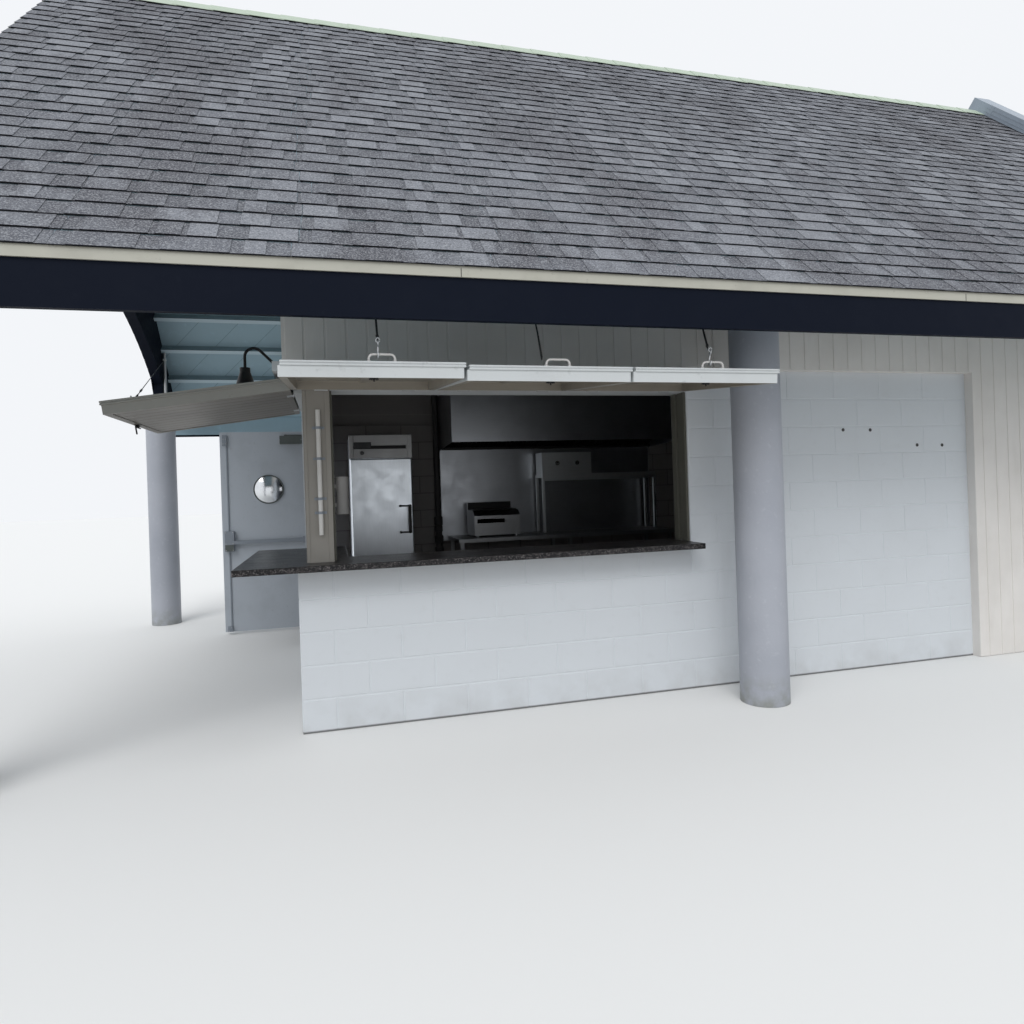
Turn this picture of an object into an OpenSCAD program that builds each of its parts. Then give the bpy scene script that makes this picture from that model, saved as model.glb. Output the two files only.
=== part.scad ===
// Concession kiosk: a block room with top-hung serving hatches, under a steep
// shingled gable roof on round columns. The long front faces -Y.
// Inside this file a point is given from the room's front left corner at the
// ground; at_site() moves it all so that the origin is under the roof's middle.

/* [Room] */
// Length of the room along its front, outside
room_l = 7860; // [7200:10:8400]
// Depth of the room, outside
room_d = 4020; // [3800:10:4400]
// Thickness of the block walls
wall_t = 203; // [190:1:230]
// Height of one course of blocks
block_h = 203.2; // [190:0.1:205]
// Number of block courses
block_courses = 11; // [11:1:12]
// Thickness of the concrete floor above the ground
floor_t = 20; // [10:1:24]

/* [Serving openings] */
// Width of the corner post between the two openings, along the front
post_w = 220; // [180:5:260]
// Depth of the corner post, along the side
post_d = 150; // [120:5:200]
// Right end of the front opening
front_open_x = 2640; // [2400:10:2700]
// Rear end of the side opening
side_open_y = 1238; // [1100:10:1400]
// Underside of the lintels
head_z = 2085; // [2060:5:2110]

/* [Counter] */
// Height of the counter's top
counter_h = 1033; // [1000:1:1035]
// Thickness of the stone
counter_t = 38; // [30:1:50]
// How far the counter stands out at the front
counter_out = 200; // [150:5:300]
// How far the counter stands out at the side
counter_side_out = 351; // [300:5:450]
// How far the counter reaches inside the wall
counter_in = 100; // [50:5:200]

/* [Hatches] */
// Number of hatches along the front
hatch_count = 3; // [2:1:4]
// How far the first hatch reaches past the corner
hatch_lap = 8; // [0:1:60]
// Length of a hatch from its hinge to its outer edge
hatch_l = 1041; // [950:1:1044]
// Thickness of a hatch's top sheet
hatch_sheet = 24; // [18:1:30]
// Depth of the boards under the sheet
hatch_board = 54; // [45:1:60]
// Width of those boards
hatch_board_w = 38; // [30:1:60]
// How far the sheet laps past the boards towards the next hatch
hatch_lip = 10; // [6:1:12]
// How far the sheet stands past the boards at the outer edge
hatch_nose = 6; // [3:1:12]
// Clearance between two hatches side by side
hatch_clear = 5; // [5:1:10]
// Slope of the open front hatches
hatch_slope = 5.8; // [3:0.1:8]
// How much less the first front hatch slopes
hatch_slope_less = 0.6; // [0:0.1:1]
// Slope of the open side hatch
side_hatch_slope = 8; // [5:0.1:12]
// Front edge of the side hatch
side_hatch_y0 = 12; // [10:1:60]
// Rear edge of the side hatch
side_hatch_y1 = 1262; // [1250:1:1500]
// Gap from the hinge line to the wall and to the hatch
hinge_gap = 6; // [6:0.5:10]
// Clearance of the hinge knuckles
hinge_clear = 0.3; // [0.2:0.1:0.5]
// Width of a lifting handle
handle_w = 136; // [100:1:180]
// Height of a lifting handle
handle_h = 40; // [30:1:60]
// Rod of a lifting handle
handle_d = 12; // [8:1:16]
// Distance of a handle from the middle of its hatch
handle_side = 40; // [0:5:80]
// Diameter of the hold-up cables
cable_d = 6; // [4:1:8]
// Diameter of the post that holds the side hatch's cable
stay_d = 34; // [28:1:40]

/* [Side door] */
// Free edge of the door when it is shut
door_y0 = 2536; // [2450:1:2600]
// Width of the door leaf
door_w = 914; // [800:1:950]
// Height of the door leaf
door_h = 2108; // [2050:1:2115]
// Thickness of the door leaf
door_t = 45; // [38:1:50]
// Gap round the leaf
door_gap = 7; // [7:0.5:12]
// Distance of the hinge pins from the wall's face
pin_out = 7; // [6.5:0.5:10]
// Distance of the hinge pins past the leaf's edge
pin_side = 2; // [1:0.5:3]
// Width of the steel frame's face
frame_w = 50; // [40:1:60]
// Diameter of the round mirror on the leaf
mirror_d = 310; // [250:5:350]
// Distance of the mirror from the middle of the leaf
mirror_side = 18; // [0:1:40]
// Height of the mirror's centre
mirror_z = 1521; // [1400:5:1600]
// How far the mirror bulges
mirror_bulge = 32; // [20:1:40]
// Height of the panic bar
bar_z = 970; // [900:5:1050]
// Height of the panic bar's case
case_h = 212; // [150:2:240]
// Width of the panic bar's case
case_w = 90; // [70:2:100]
// Length of the door closer's body
closer_l = 240; // [200:5:280]

/* [Columns] */
// Diameter of the round columns
column_d = 312; // [300:1:360]
// Distance of the columns' centres in front of the wall
column_out = 400; // [300:5:500]
// Centre of the porch columns, left of the room
porch_x = 1710; // [1500:10:2000]
// Spacing of the columns along the front
bay = 4630; // [4400:10:4800]

/* [Roof] */
// Pitch of the roof
pitch = 45; // [44:0.5:45.5]
// Overhang of the eaves past the walls
eave_out = 1200; // [1150:10:1250]
// Height of the shingles at the eaves
eave_z = 2495; // [2490:5:2560]
// Overhang of the roof past the left wall
rake_out = 1820; // [1800:10:2000]
// Thickness of the shingles
shingle_t = 12; // [8:1:16]
// Thickness of the deck boards
deck_t = 38; // [25:1:45]
// Depth of the purlins under the deck
purlin_h = 90; // [70:5:100]
// Thickness of a purlin
purlin_t = 45; // [38:1:60]
// Spacing of the purlins down the slope
purlin_step = 421; // [400:1:500]
// Distance of the lowest purlin from the eave, along the slope
purlin_first = 300; // [280:5:320]
// Clearance of the purlins in their seats
seat_gap = 0.1; // [0.1:0.1:0.5]
// Height of the fascia boards
fascia_h = 200; // [150:5:250]
// Thickness of the fascia boards
fascia_t = 36; // [25:1:45]
// Height of the drip trim over the fascia
drip_h = 42; // [30:1:60]
// How far the drip trim stands out from the fascia
drip_out = 10; // [5:1:20]
// Width of one leg of the ridge cap
ridge_leg = 160; // [120:5:200]
// Width of the raised coping at the right end
coping_w = 210; // [210:5:250]
// Height of the raised coping
coping_h = 110; // [80:5:150]
// Thickness of the coping's metal
coping_t = 4; // [3:0.5:6]
// How far the roof reaches past the right wall
roof_over = 15; // [10:1:25]
// Thickness of the panel that closes the gable at the porch end
arch_t = 100; // [80:5:150]
// Radius of the arch in that panel
arch_r = 3990; // [3900:10:4100]
// Height of the arch's crown
arch_crown = 3550; // [3450:10:3600]
// Distance of the arch's feet from the roof's middle, on their inner side
arch_foot = 2340; // [2300:5:2360]
// How far the panel reaches past the columns
arch_tail = 284; // [200:1:290]
// Depth of the ridge beam
ridge_beam_h = 240; // [180:5:300]
// Width of an eave beam
beam_w = 140; // [100:5:180]
// Height of an eave beam on its outer face
beam_h = 387; // [360:1:420]
// Thickness of the framed upper walls
siding_t = 140; // [100:5:160]
// How far the siding stands out from the blocks
siding_out = 64; // [40:1:80]
// How far it stands out from them at the left end
side_siding_out = 30; // [20:1:40]
// Left end of the siding wall that reaches the ground
siding_x = 5096; // [4800:10:5400]
// Thickness of the corner boards
corner_t = 20; // [16:1:30]
// Width of a corner board's face
corner_w = 100; // [80:5:120]
// How far the ledge over the side hatch stands out from the wall
ledge_out = 107; // [90:1:130]
// Underside of that ledge
ledge_z = 2188; // [2180:1:2200]
// Height of that ledge's face
ledge_h = 58; // [50:1:64]

/* [Lamp] */
// Place of the lamp along the side wall
lamp_y = 684; // [500:5:900]
// Height of the lamp's wall plate
lamp_z = 2320; // [2300:5:2400]
// Reach of the lamp from the wall
lamp_out = 340; // [300:5:400]
// Height of the top of the arm
lamp_top = 2473; // [2450:1:2500]
// Diameter of the shade's mouth
shade_d = 140; // [130:5:220]
// Height of the shade
shade_h = 140; // [90:5:150]
// Diameter of the lamp's arm
arm_d = 20; // [16:1:26]
// Radius of the bends in the lamp's arm
arm_r = 60; // [50:1:70]
// Rise of the lamp's arm between its bends, in degrees
arm_rise = 45; // [40:1:50]

/* [Conduit] */
// Distance of the conduit from the corner
conduit_x = 144; // [110:1:180]
// Diameter of the conduit on the corner post
conduit_d = 27; // [20:1:32]
// Lower end of the conduit, above the counter
conduit_up = 167; // [120:1:250]
// Upper end of the conduit, below the lintel
conduit_down = 122; // [80:1:200]

/* [Kitchen] */
// Left side of the refrigerator
fridge_x = 392; // [380:1:420]
// Width of the refrigerator
fridge_w = 655; // [600:5:700]
// Depth of the refrigerator
fridge_d = 760; // [700:5:800]
// Height of the refrigerator above the floor
fridge_h = 2036; // [1900:1:2060]
// Gap behind the refrigerator
fridge_back = 57; // [20:1:80]
// Height of the panel over the refrigerator's door
panel_h = 244; // [200:1:280]
// Left end of the extractor hood
hood_x = 1464; // [1450:1:1500]
// Length of the extractor hood
hood_l = 2743; // [2400:1:3000]
// Depth of the extractor hood
hood_d = 935; // [850:5:1000]
// Lower front edge of the extractor hood
hood_z = 1961; // [1930:1:2000]
// How much lower the hood's rear edge is
hood_drop = 40; // [20:1:50]
// Height of the extractor hood's front
hood_h = 620; // [560:5:700]
// Thickness of the hood's sheet and of the splash back
sheet_t = 3; // [2:0.5:4]
// Left end of the work table
table_x = 1540; // [1450:10:1600]
// Length of the work table
table_l = 2600; // [2400:10:2700]
// Depth of the work table
table_d = 720; // [650:10:760]
// Height of the work table above the floor
table_h = 880; // [850:5:900]
// Thickness of the table's top and shelf
top_t = 40; // [30:1:50]
// Width of the table's legs
leg_w = 40; // [30:1:50]
// Left end of the over-shelf
shelf_x = 2640; // [2600:10:2680]
// Height of the over-shelf's top above the table
shelf_up = 700; // [660:5:720]
// Depth of the over-shelf
shelf_d = 290; // [260:5:320]
// Width of the control box on the over-shelf
control_w = 630; // [500:5:700]
// Height of the control box
control_h = 260; // [200:5:280]
// Left side of the griddle
griddle_x = 1755; // [1700:5:1800]
// Width of the griddle
griddle_w = 536; // [450:2:600]
// Height of the griddle on its feet
griddle_h = 392; // [300:2:420]
// Diameter of the pipe on the back wall
pipe_d = 70; // [50:1:72]
// Diameter of the cup dispenser
cups_d = 105; // [90:1:120]
// Height of the cup dispenser
cups_h = 299; // [250:1:320]
// Lower end of the cup dispenser
cups_z = 1284; // [1200:1:1400]
// Distance of the cup dispenser from the wall
cups_out = 37; // [30:1:50]

/* [Hidden] */
$fn = 48;
mid_y = room_d / 2;
block_wall_h = block_h * block_courses;
half_run = mid_y + eave_out;
roof_x1 = room_l + roof_over;
ridge_z = eave_z + half_run * tan(pitch);
left_reach = max(rake_out, porch_x + column_d / 2);
origin_x = (roof_x1 - left_reach) / 2;
inner_x0 = wall_t;
inner_x1 = room_l - wall_t;
inner_y0 = wall_t;
inner_y1 = room_d - wall_t;
sill_z = counter_h - counter_t;
siding_in = siding_t - siding_out;
side_siding_in = siding_t - side_siding_out;
deck_depth = shingle_t + deck_t;
purlin_depth = deck_depth + purlin_h;
slope_l = half_run / cos(pitch);
hatch_w = (front_open_x + hatch_lap) / hatch_count;
hatch_t = hatch_sheet + hatch_board;
door_z0 = floor_t + 8;
door_top = door_z0 + door_h;
door_y1 = door_y0 + door_w;
frame_y0 = door_y0 - door_gap - frame_w;
frame_y1 = door_y1 + door_gap + frame_w;
frame_top = door_top + door_gap + frame_w;
column_xs = [-porch_x, bay - porch_x, room_l - column_d / 2 - 25];
column_ys = [-column_out, room_d + column_out];
column_h = roof_z(mid_y + column_out + beam_w / 2, purlin_depth) - beam_h;
knuckle_d = 2 * (hinge_gap - hinge_clear);
pin_d = 2 * (norm([pin_out, pin_side]) - hinge_clear);
shade_top = lamp_z + 16;
purlin_count = floor((slope_l - purlin_first) / purlin_step);
arch_end = mid_y + column_out + column_d / 2 + arch_tail;
hatch_gap = hatch_lip + hatch_clear;
handle_reach = hatch_l - hatch_nose - hatch_board_w / 2;
hook_z = head_z + hatch_t + handle_h + 60;
table_z = floor_t + table_h;
shelf_z = table_z + shelf_up;
fridge_y = inner_y1 - fridge_back - fridge_d;
table_y = inner_y1 - 30 - table_d;

module at_site() {
  translate([-origin_x, -mid_y, 0]) children();
}

module box(lo, hi) {
  translate(lo) cube(hi - lo);
}

// Carries a drawing of Y and Z along X
module along_x(x0, x1) {
  translate([x0, 0, 0]) rotate([90, 0, 90]) linear_extrude(x1 - x0) children();
}

// Height of a plane under the roof: run is the distance from the middle, deep is
// the depth square to the slope
function roof_z(run, deep) = ridge_z - run * tan(pitch) - deep / cos(pitch);

// Distance of a purlin's middle from the roof's middle, and the point under its lower edge
function purlin_run(i) = (slope_l - purlin_first - i * purlin_step) * cos(pitch);
function purlin_foot(i) = [
  mid_y - purlin_run(i) + purlin_h * sin(pitch) - purlin_t / 2 * cos(pitch),
  roof_z(purlin_run(i), deck_depth) - purlin_h * cos(pitch) - purlin_t / 2 * sin(pitch)];

// Turns the front side into the back side
module mirrored(back) {
  translate([0, mid_y, 0]) mirror([0, back ? 1 : 0, 0]) translate([0, -mid_y, 0]) children();
}

// A sheet that follows the front slope, cut plumb at both ends
module slope_sheet(x0, x1, run0, run1, deep0, deep1) {
  along_x(x0, x1) polygon([
    [mid_y - run0, roof_z(run0, deep0)],
    [mid_y - run1, roof_z(run1, deep0)],
    [mid_y - run1, roof_z(run1, deep1)],
    [mid_y - run0, roof_z(run0, deep1)]]);
}

// Points of a bend from one angle to another, for a rod's path
function bend(centre, r, from, to) =
  [for (i = [0 : 8]) centre + r * [cos(from + (to - from) * i / 8), sin(from + (to - from) * i / 8)]];

// Unit direction of a path at one of its points
function heading(path, i) =
  let (v = path[min(i + 1, len(path) - 1)] - path[max(i - 1, 0)]) v / norm(v);

// Round rod bent along a path in the plane of X and Y
module bent_rod(path, d, sides = 16) {
  last = len(path) - 1;
  rings = [for (i = [0 : last], k = [0 : sides - 1])
    let (t = heading(path, i), c = d / 2 * cos(360 * k / sides))
      [path[i].x - t.y * c, path[i].y + t.x * c, d / 2 * sin(360 * k / sides)]];
  skin = [for (i = [0 : last - 1], k = [0 : sides - 1], half = [0, 1])
    let (a = i * sides + k, b = i * sides + (k + 1) % sides)
      half == 0 ? [a, b + sides, b] : [a, a + sides, b + sides]];
  ends = [[for (k = [0 : sides - 1]) k], [for (k = [sides - 1 : -1 : 0]) last * sides + k]];
  polyhedron(rings, concat(skin, ends));
}

// U-shaped handle of bent rod: its legs stand on Z = 0
module bent_handle(w, h, d) {
  r = 14;
  rotate([90, 0, 0]) bent_rod(concat([[-w / 2, 0]], bend([r - w / 2, h - r], r, 180, 90),
    bend([w / 2 - r, h - r], r, 90, 0), [[w / 2, 0]]), d);
}

module floor_slab() {
  at_site() color("gray")
    box([inner_x0, inner_y0, 0], [inner_x1, inner_y1, floor_t]);
}

module front_sill_wall() {
  at_site() color("white")
    box([0, 0, 0], [front_open_x, wall_t, sill_z]);
}

module front_wall() {
  at_site() color("white")
    box([front_open_x, 0, 0], [siding_x, wall_t, block_wall_h]);
}

module front_lintel() {
  at_site() color("white")
    box([post_w, 0, head_z], [front_open_x, wall_t, block_wall_h]);
}

module corner_post() {
  at_site() color("white")
    box([0, 0, sill_z], [post_w, post_d, block_wall_h]);
}

module side_sill_wall() {
  at_site() color("white")
    box([0, wall_t, 0], [wall_t, side_open_y, sill_z]);
}

module side_wall() {
  at_site() color("white")
    box([0, side_open_y, 0], [wall_t, frame_y0, block_wall_h]);
}

module side_wall_rear() {
  at_site() color("white")
    box([0, frame_y1, 0], [wall_t, room_d, block_wall_h]);
}

module side_lintel() {
  at_site() color("white")
    box([0, post_d, head_z], [post_w, side_open_y, block_wall_h]);
}

module door_head_wall() {
  at_site() color("white")
    box([0, frame_y0, frame_top], [wall_t, frame_y1, block_wall_h]);
}

module back_wall() {
  at_site() color("white")
    box([inner_x0, inner_y1, 0], [inner_x1, room_d, block_wall_h]);
}

module right_wall() {
  at_site() color("white")
    box([inner_x1, inner_y0, 0], [room_l, room_d, block_wall_h]);
}

// The framed wall that stands on the ground at the right of the front
module ground_siding() {
  at_site() color("tan")
    box([siding_x, -siding_out, 0], [room_l, wall_t, block_wall_h]);
}

// The framed walls reach up to the deck, notched round the purlins
module eave_siding() {
  top = deck_depth + seat_gap;
  difference() {
    along_x(side_siding_in, inner_x1) polygon([
      [-siding_out, block_wall_h],
      [siding_in, block_wall_h],
      [siding_in, roof_z(mid_y - siding_in, top)],
      [-siding_out, roof_z(mid_y + siding_out, top)]]);
    purlin_set(seat_gap);
  }
}

module front_siding() {
  at_site() color("tan") eave_siding();
}

module back_siding() {
  at_site() color("tan") mirrored(true) eave_siding();
}

module gable_siding(x0, x1) {
  run = mid_y + siding_out;
  top = deck_depth + seat_gap;
  along_x(x0, x1) polygon([
    [mid_y - run, block_wall_h],
    [mid_y + run, block_wall_h],
    [mid_y + run, roof_z(run, top)],
    [mid_y, roof_z(0, top)],
    [mid_y - run, roof_z(run, top)]]);
}

module left_gable_siding() {
  at_site() color("tan") difference() {
    gable_siding(-side_siding_out, side_siding_in);
    for (back = [false, true]) mirrored(back) purlin_set(seat_gap);
  }
}

module right_gable_siding() {
  at_site() color("tan") gable_siding(inner_x1, room_l);
}

// Boards at the two left corners, on the face of the left gable
module corner_board() {
  inner = mid_y + siding_out - corner_w;
  outer = mid_y + siding_out;
  along_x(-side_siding_out - corner_t, -side_siding_out) polygon([
    [mid_y - outer, block_wall_h],
    [mid_y - inner, block_wall_h],
    [mid_y - inner, roof_z(inner, purlin_depth)],
    [mid_y - outer, roof_z(outer, purlin_depth)]]);
}

module corner_boards() {
  at_site() color("tan") for (back = [false, true]) mirrored(back) corner_board();
}

// Ledge over the side hatch: it butts the blocks and laps the foot of the siding
module side_ledge() {
  lap = side_siding_out + corner_t;
  at_site() color("white") {
    box([-ledge_out, -siding_out, ledge_z], [0, side_hatch_y1 + 20, block_wall_h]);
    box([-ledge_out, -siding_out, ledge_z], [-lap, side_hatch_y1 + 20, ledge_z + ledge_h]);
  }
}

module counter() {
  at_site() color("dimgray") difference() {
    union() {
      box([-counter_side_out, -counter_out, sill_z], [front_open_x, wall_t + counter_in, counter_h]);
      box([-counter_side_out, -counter_out, sill_z], [wall_t + counter_in, side_open_y, counter_h]);
    }
    box([0, 0, sill_z - 1], [post_w, post_d, counter_h + 1]);
  }
}

module columns() {
  at_site() color("lavender") for (x = column_xs, y = column_ys)
    translate([x, y, 0]) cylinder(d = column_d, h = column_h, $fn = 96);
}

// Short beams that tie the columns beside the room to its framed walls
module eave_beams() {
  near = mid_y + siding_out;
  far = mid_y + column_out + beam_w / 2;
  at_site() color("navy") for (back = [false, true], i = [1, 2])
    mirrored(back) along_x(column_xs[i] - beam_w / 2, column_xs[i] + beam_w / 2) polygon([
      [mid_y - near, column_h],
      [mid_y - far, column_h],
      [mid_y - far, roof_z(far, purlin_depth)],
      [mid_y - near, roof_z(near, purlin_depth)]]);
}

// The gable at the porch end is a panel that stands on the porch columns. It reaches up
// to the deck, notched round the purlins, and its lower edge is an arch.
module gable_arch() {
  top = deck_depth + seat_gap;
  at_site() color("navy") difference() {
    along_x(-porch_x - arch_t / 2, arch_t / 2 - porch_x) difference() {
      polygon([
        [mid_y - arch_end, column_h],
        [mid_y + arch_end, column_h],
        [mid_y + arch_end, roof_z(arch_end, top)],
        [mid_y, roof_z(0, top)],
        [mid_y - arch_end, roof_z(arch_end, top)]]);
      intersection() {
        translate([mid_y, arch_crown - arch_r]) circle(r = arch_r, $fn = 180);
        translate([mid_y - arch_foot, column_h - 1]) square([2 * arch_foot, ridge_z - column_h]);
      }
    }
    for (back = [false, true]) mirrored(back) purlin_set(seat_gap);
  }
}

// The ridge beam spans from the panel to the room's left gable
module ridge_beam() {
  top = roof_z(beam_w / 2, purlin_depth);
  at_site() color("navy")
    box([arch_t / 2 - porch_x, mid_y - beam_w / 2, top - ridge_beam_h],
      [-side_siding_out, mid_y + beam_w / 2, top]);
}

// Purlins lie along the slope, square to it. With room they are the notches for them.
module purlin_set(room = 0) {
  low = purlin_h - seat_gap + room;
  high = room > 0 ? -1 : seat_gap;
  half = purlin_t / 2 + room;
  for (i = [0 : purlin_count - 1])
    translate([0, mid_y - purlin_run(i), roof_z(purlin_run(i), deck_depth)]) rotate([pitch, 0, 0])
      box([-rake_out + 20, -half, -low], [inner_x1, half, -high]);
}

module purlins() {
  at_site() color("lightsteelblue") for (back = [false, true]) mirrored(back) purlin_set();
}

module deck_side() {
  slope_sheet(-rake_out + 20, roof_x1, 0, half_run - 60, shingle_t, deck_depth);
}

module roof_deck_front() {
  at_site() color("lightsteelblue") deck_side();
}

module roof_deck_back() {
  at_site() color("lightsteelblue") mirrored(true) deck_side();
}

module shingle_side() {
  slope_sheet(-rake_out, roof_x1, 0, half_run, 0, shingle_t);
}

module shingles_front() {
  at_site() color("slategray") shingle_side();
}

module shingles_back() {
  at_site() color("slategray") mirrored(true) shingle_side();
}

module ridge_cap() {
  run = ridge_leg * cos(pitch);
  at_site() color("darkseagreen") along_x(-rake_out, roof_x1 - coping_w) polygon([
    [mid_y, roof_z(0, 0)],
    [mid_y - run, roof_z(run, 0)],
    [mid_y - run, roof_z(run, -10)],
    [mid_y, roof_z(0, -10)],
    [mid_y + run, roof_z(run, -10)],
    [mid_y + run, roof_z(run, 0)]]);
}

module fascia_side() {
  face = half_run - 60 + fascia_t;
  low = eave_z - shingle_t - drip_h - fascia_h;
  box([-rake_out + 20, mid_y - face, low], [roof_x1, mid_y - half_run + 60, low + fascia_h]);
}

module fascias() {
  at_site() color("midnightblue") for (back = [false, true]) mirrored(back) fascia_side();
}

module drip_side() {
  inner = half_run - 60;
  face = inner + fascia_t + drip_out;
  low = eave_z - shingle_t - drip_h;
  along_x(-rake_out + 20, roof_x1) polygon([
    [mid_y - face, low],
    [mid_y - face, roof_z(face, shingle_t)],
    [mid_y - inner, roof_z(inner, shingle_t)],
    [mid_y - inner, low]]);
}

module drip_trims() {
  at_site() color("antiquewhite") for (back = [false, true]) mirrored(back) drip_side();
}

module rake_side() {
  slope_sheet(-rake_out, -rake_out + 20, 0, half_run, shingle_t, shingle_t + 190);
}

module rake_boards() {
  at_site() color("darkseagreen") for (back = [false, true]) mirrored(back) rake_side();
}

// Folded metal over a raised kerb; its lower end is open
module coping_side() {
  x0 = roof_x1 - coping_w;
  difference() {
    slope_sheet(x0, roof_x1, 0, half_run, -coping_h, 0);
    slope_sheet(x0 + coping_t, roof_x1 - coping_t, -1, half_run + 1, coping_t - coping_h, 1);
  }
}

module rake_coping() {
  at_site() color("silver") for (back = [false, true]) mirrored(back) coping_side();
}

// Steel frame with a stop that the shut leaf meets
module door_frame() {
  stop_x = door_t + door_gap;
  at_site() color("dimgray") difference() {
    box([0, frame_y0, 0], [wall_t, frame_y1, frame_top]);
    box([-1, door_y0 - door_gap, -1], [stop_x, door_y1 + door_gap, door_top + door_gap]);
    box([-1, door_y0 + 10, -1], [wall_t + 1, door_y1 - 10, door_top - 10]);
  }
}

// Things drawn on the shut door are turned out to where it stands open
module door_open() {
  translate([-pin_out, door_y1 + pin_side, 0]) rotate([0, 0, -90])
    translate([pin_out, -door_y1 - pin_side, 0]) children();
}

module door_leaf() {
  at_site() color("silver") door_open() box([0, door_y0, door_z0], [door_t, door_y1, door_top]);
}

module door_hinges() {
  at_site() color("silver") for (z = [door_z0 + 200, door_z0 + door_h / 2, door_top - 200]) {
    translate([-pin_out, door_y1 + pin_side, z - 50]) cylinder(d = pin_d, h = 100);
    box([-3, door_y1 + pin_side + 1, z - 50], [0, door_y1 + door_gap + 40, z + 50]);
  }
}

// Convex mirror: a rim round a shallow dome
module door_mirror() {
  rim = 8;
  r = mirror_d / 2;
  dome_r = ((r - rim) * (r - rim) + mirror_bulge * mirror_bulge) / (2 * mirror_bulge);
  half_angle = asin((r - rim) / dome_r);
  at_site() color("lightblue") door_open()
    translate([door_t, door_y0 + door_w / 2 + mirror_side, mirror_z])
    rotate([0, 90, 0]) rotate_extrude($fn = 96)
      polygon(concat([[0, 0], [r, 0], [r, rim + 4], [r - rim, rim + 4]],
        [for (i = [0 : 10]) let (a = half_angle * (1 - i / 10))
          [dome_r * sin(a), rim + mirror_bulge - dome_r * (1 - cos(a))]]));
}

// The bar works two rods that bolt the leaf at its head and foot
module panic_bar() {
  side = door_y0 + 28;
  rod_y = side + 38;
  case_z = bar_z - case_h * 0.43;
  at_site() color("gray") door_open() {
    box([door_t, side, case_z], [door_t + 55, side + case_w, case_z + case_h]);
    box([door_t, door_y1 - 100, bar_z - 35], [door_t + 55, door_y1 - 40, bar_z + 35]);
    box([door_t + 35, side + case_w, bar_z - 20], [door_t + 55, door_y1 - 100, bar_z + 20]);
    for (span = [[door_z0 + 60, case_z], [case_z + case_h, door_top - 145]])
      box([door_t, rod_y - 6, span[0]], [door_t + 12, rod_y + 6, span[1]]);
    for (z = [door_z0 + 5, door_top - 145])
      box([door_t, side, z], [door_t + 30, side + 45, z + (z > bar_z ? 114 : 55)]);
  }
}

// Closer: a body with its arm folded over it
module door_closer() {
  y = door_y1 - 70 - closer_l;
  z = door_top - 136;
  at_site() color("gray") door_open() {
    box([door_t, y, z], [door_t + 55, y + closer_l, z + 88]);
    translate([door_t + 28, y + 60, z + 88]) cylinder(d = 30, h = 14);
    box([door_t + 18, y + 60, z + 91], [door_t + 38, y + closer_l - 10, z + 99]);
  }
}

// One hatch, drawn level with its hinge line at the origin and reaching to -Y:
// a frame of boards under a sheet of two layers, which laps to one side
module hatch_shape(w) {
  end = -hatch_l;
  near = -hinge_gap;
  layer = hatch_sheet * 0.42;
  rim = hatch_board_w;
  difference() {
    box([0, end + hatch_nose, 0], [w, near, hatch_board]);
    box([rim, end + hatch_nose + rim, -1], [w - rim, near - rim, hatch_board + 1]);
  }
  difference() {
    box([hatch_lip, end, hatch_board], [w + hatch_lip, near, hatch_t]);
    difference() {
      box([0, end - 1, hatch_board + layer], [w + 2 * hatch_lip, near + 1, hatch_t - layer]);
      box([hatch_lip + 3, end + 3, hatch_board], [w + hatch_lip - 3, near - 3, hatch_t]);
    }
  }
  translate([w / 2 + handle_side, end + hatch_nose + rim / 2, hatch_t - 0.5])
    bent_handle(handle_w, handle_h, handle_d);
}

function front_slope(i) = hatch_slope - (i == 0 ? hatch_slope_less : 0);

module front_hatch(i) {
  translate([-hatch_lap + i * hatch_w, -hinge_gap, head_z])
    rotate([front_slope(i), 0, 0]) hatch_shape(hatch_w - hatch_gap);
}

module hatch_1() {
  at_site() color("white") front_hatch(0);
}

module hatch_2() {
  at_site() color("white") front_hatch(1);
}

module hatch_3() {
  at_site() color("white") front_hatch(2);
}

module side_hatch() {
  at_site() color("white") translate([-hinge_gap, side_hatch_y1, head_z]) rotate([0, 0, -90])
    rotate([side_hatch_slope, 0, 0]) hatch_shape(side_hatch_y1 - side_hatch_y0);
}

// Knuckles of the hatch hinges, with their plates on the lintels
module hinge_knuckle() {
  translate([-40, 0, 0]) rotate([0, 90, 0]) cylinder(d = knuckle_d, h = 80);
  box([-40, 2, 0], [40, hinge_gap, 12]);
}

module hatch_hinges() {
  at_site() color("silver") {
    for (i = [0 : hatch_count - 1], side = [0.2, 0.8])
      translate([-hatch_lap + (i + side) * hatch_w, -hinge_gap, head_z]) hinge_knuckle();
    for (side = [0.2, 0.8])
      translate([-hinge_gap, side_hatch_y0 + side * (side_hatch_y1 - side_hatch_y0), head_z])
        rotate([0, 0, -90]) hinge_knuckle();
  }
}

// Straight round rod from one point to another
module rod_between(a, b, d) {
  v = b - a;
  translate(a) rotate([0, acos(v.z / norm(v)), atan2(v.y, v.x)]) cylinder(d = d, h = norm(v));
}

// Cables lean down from the lowest purlin and end over the handles, where their hooks
// stay on the hatches
module front_cables() {
  foot = purlin_foot(0);
  leans = [11, 46, 51];
  for (i = [0 : hatch_count - 1]) {
    low = [-hatch_lap + (i + 0.5) * hatch_w + handle_side - 25,
      -hinge_gap - handle_reach * cos(front_slope(i)),
      hook_z - handle_reach * sin(front_slope(i))];
    side = norm([leans[i % 3], foot.x - low.y]);
    tilt_drop = cable_d / 2 * side / norm([side, foot.y - low.z]);
    rod_between(low, [low.x - leans[i % 3], foot.x, foot.y - 0.3 - tilt_drop], cable_d);
  }
}

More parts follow.
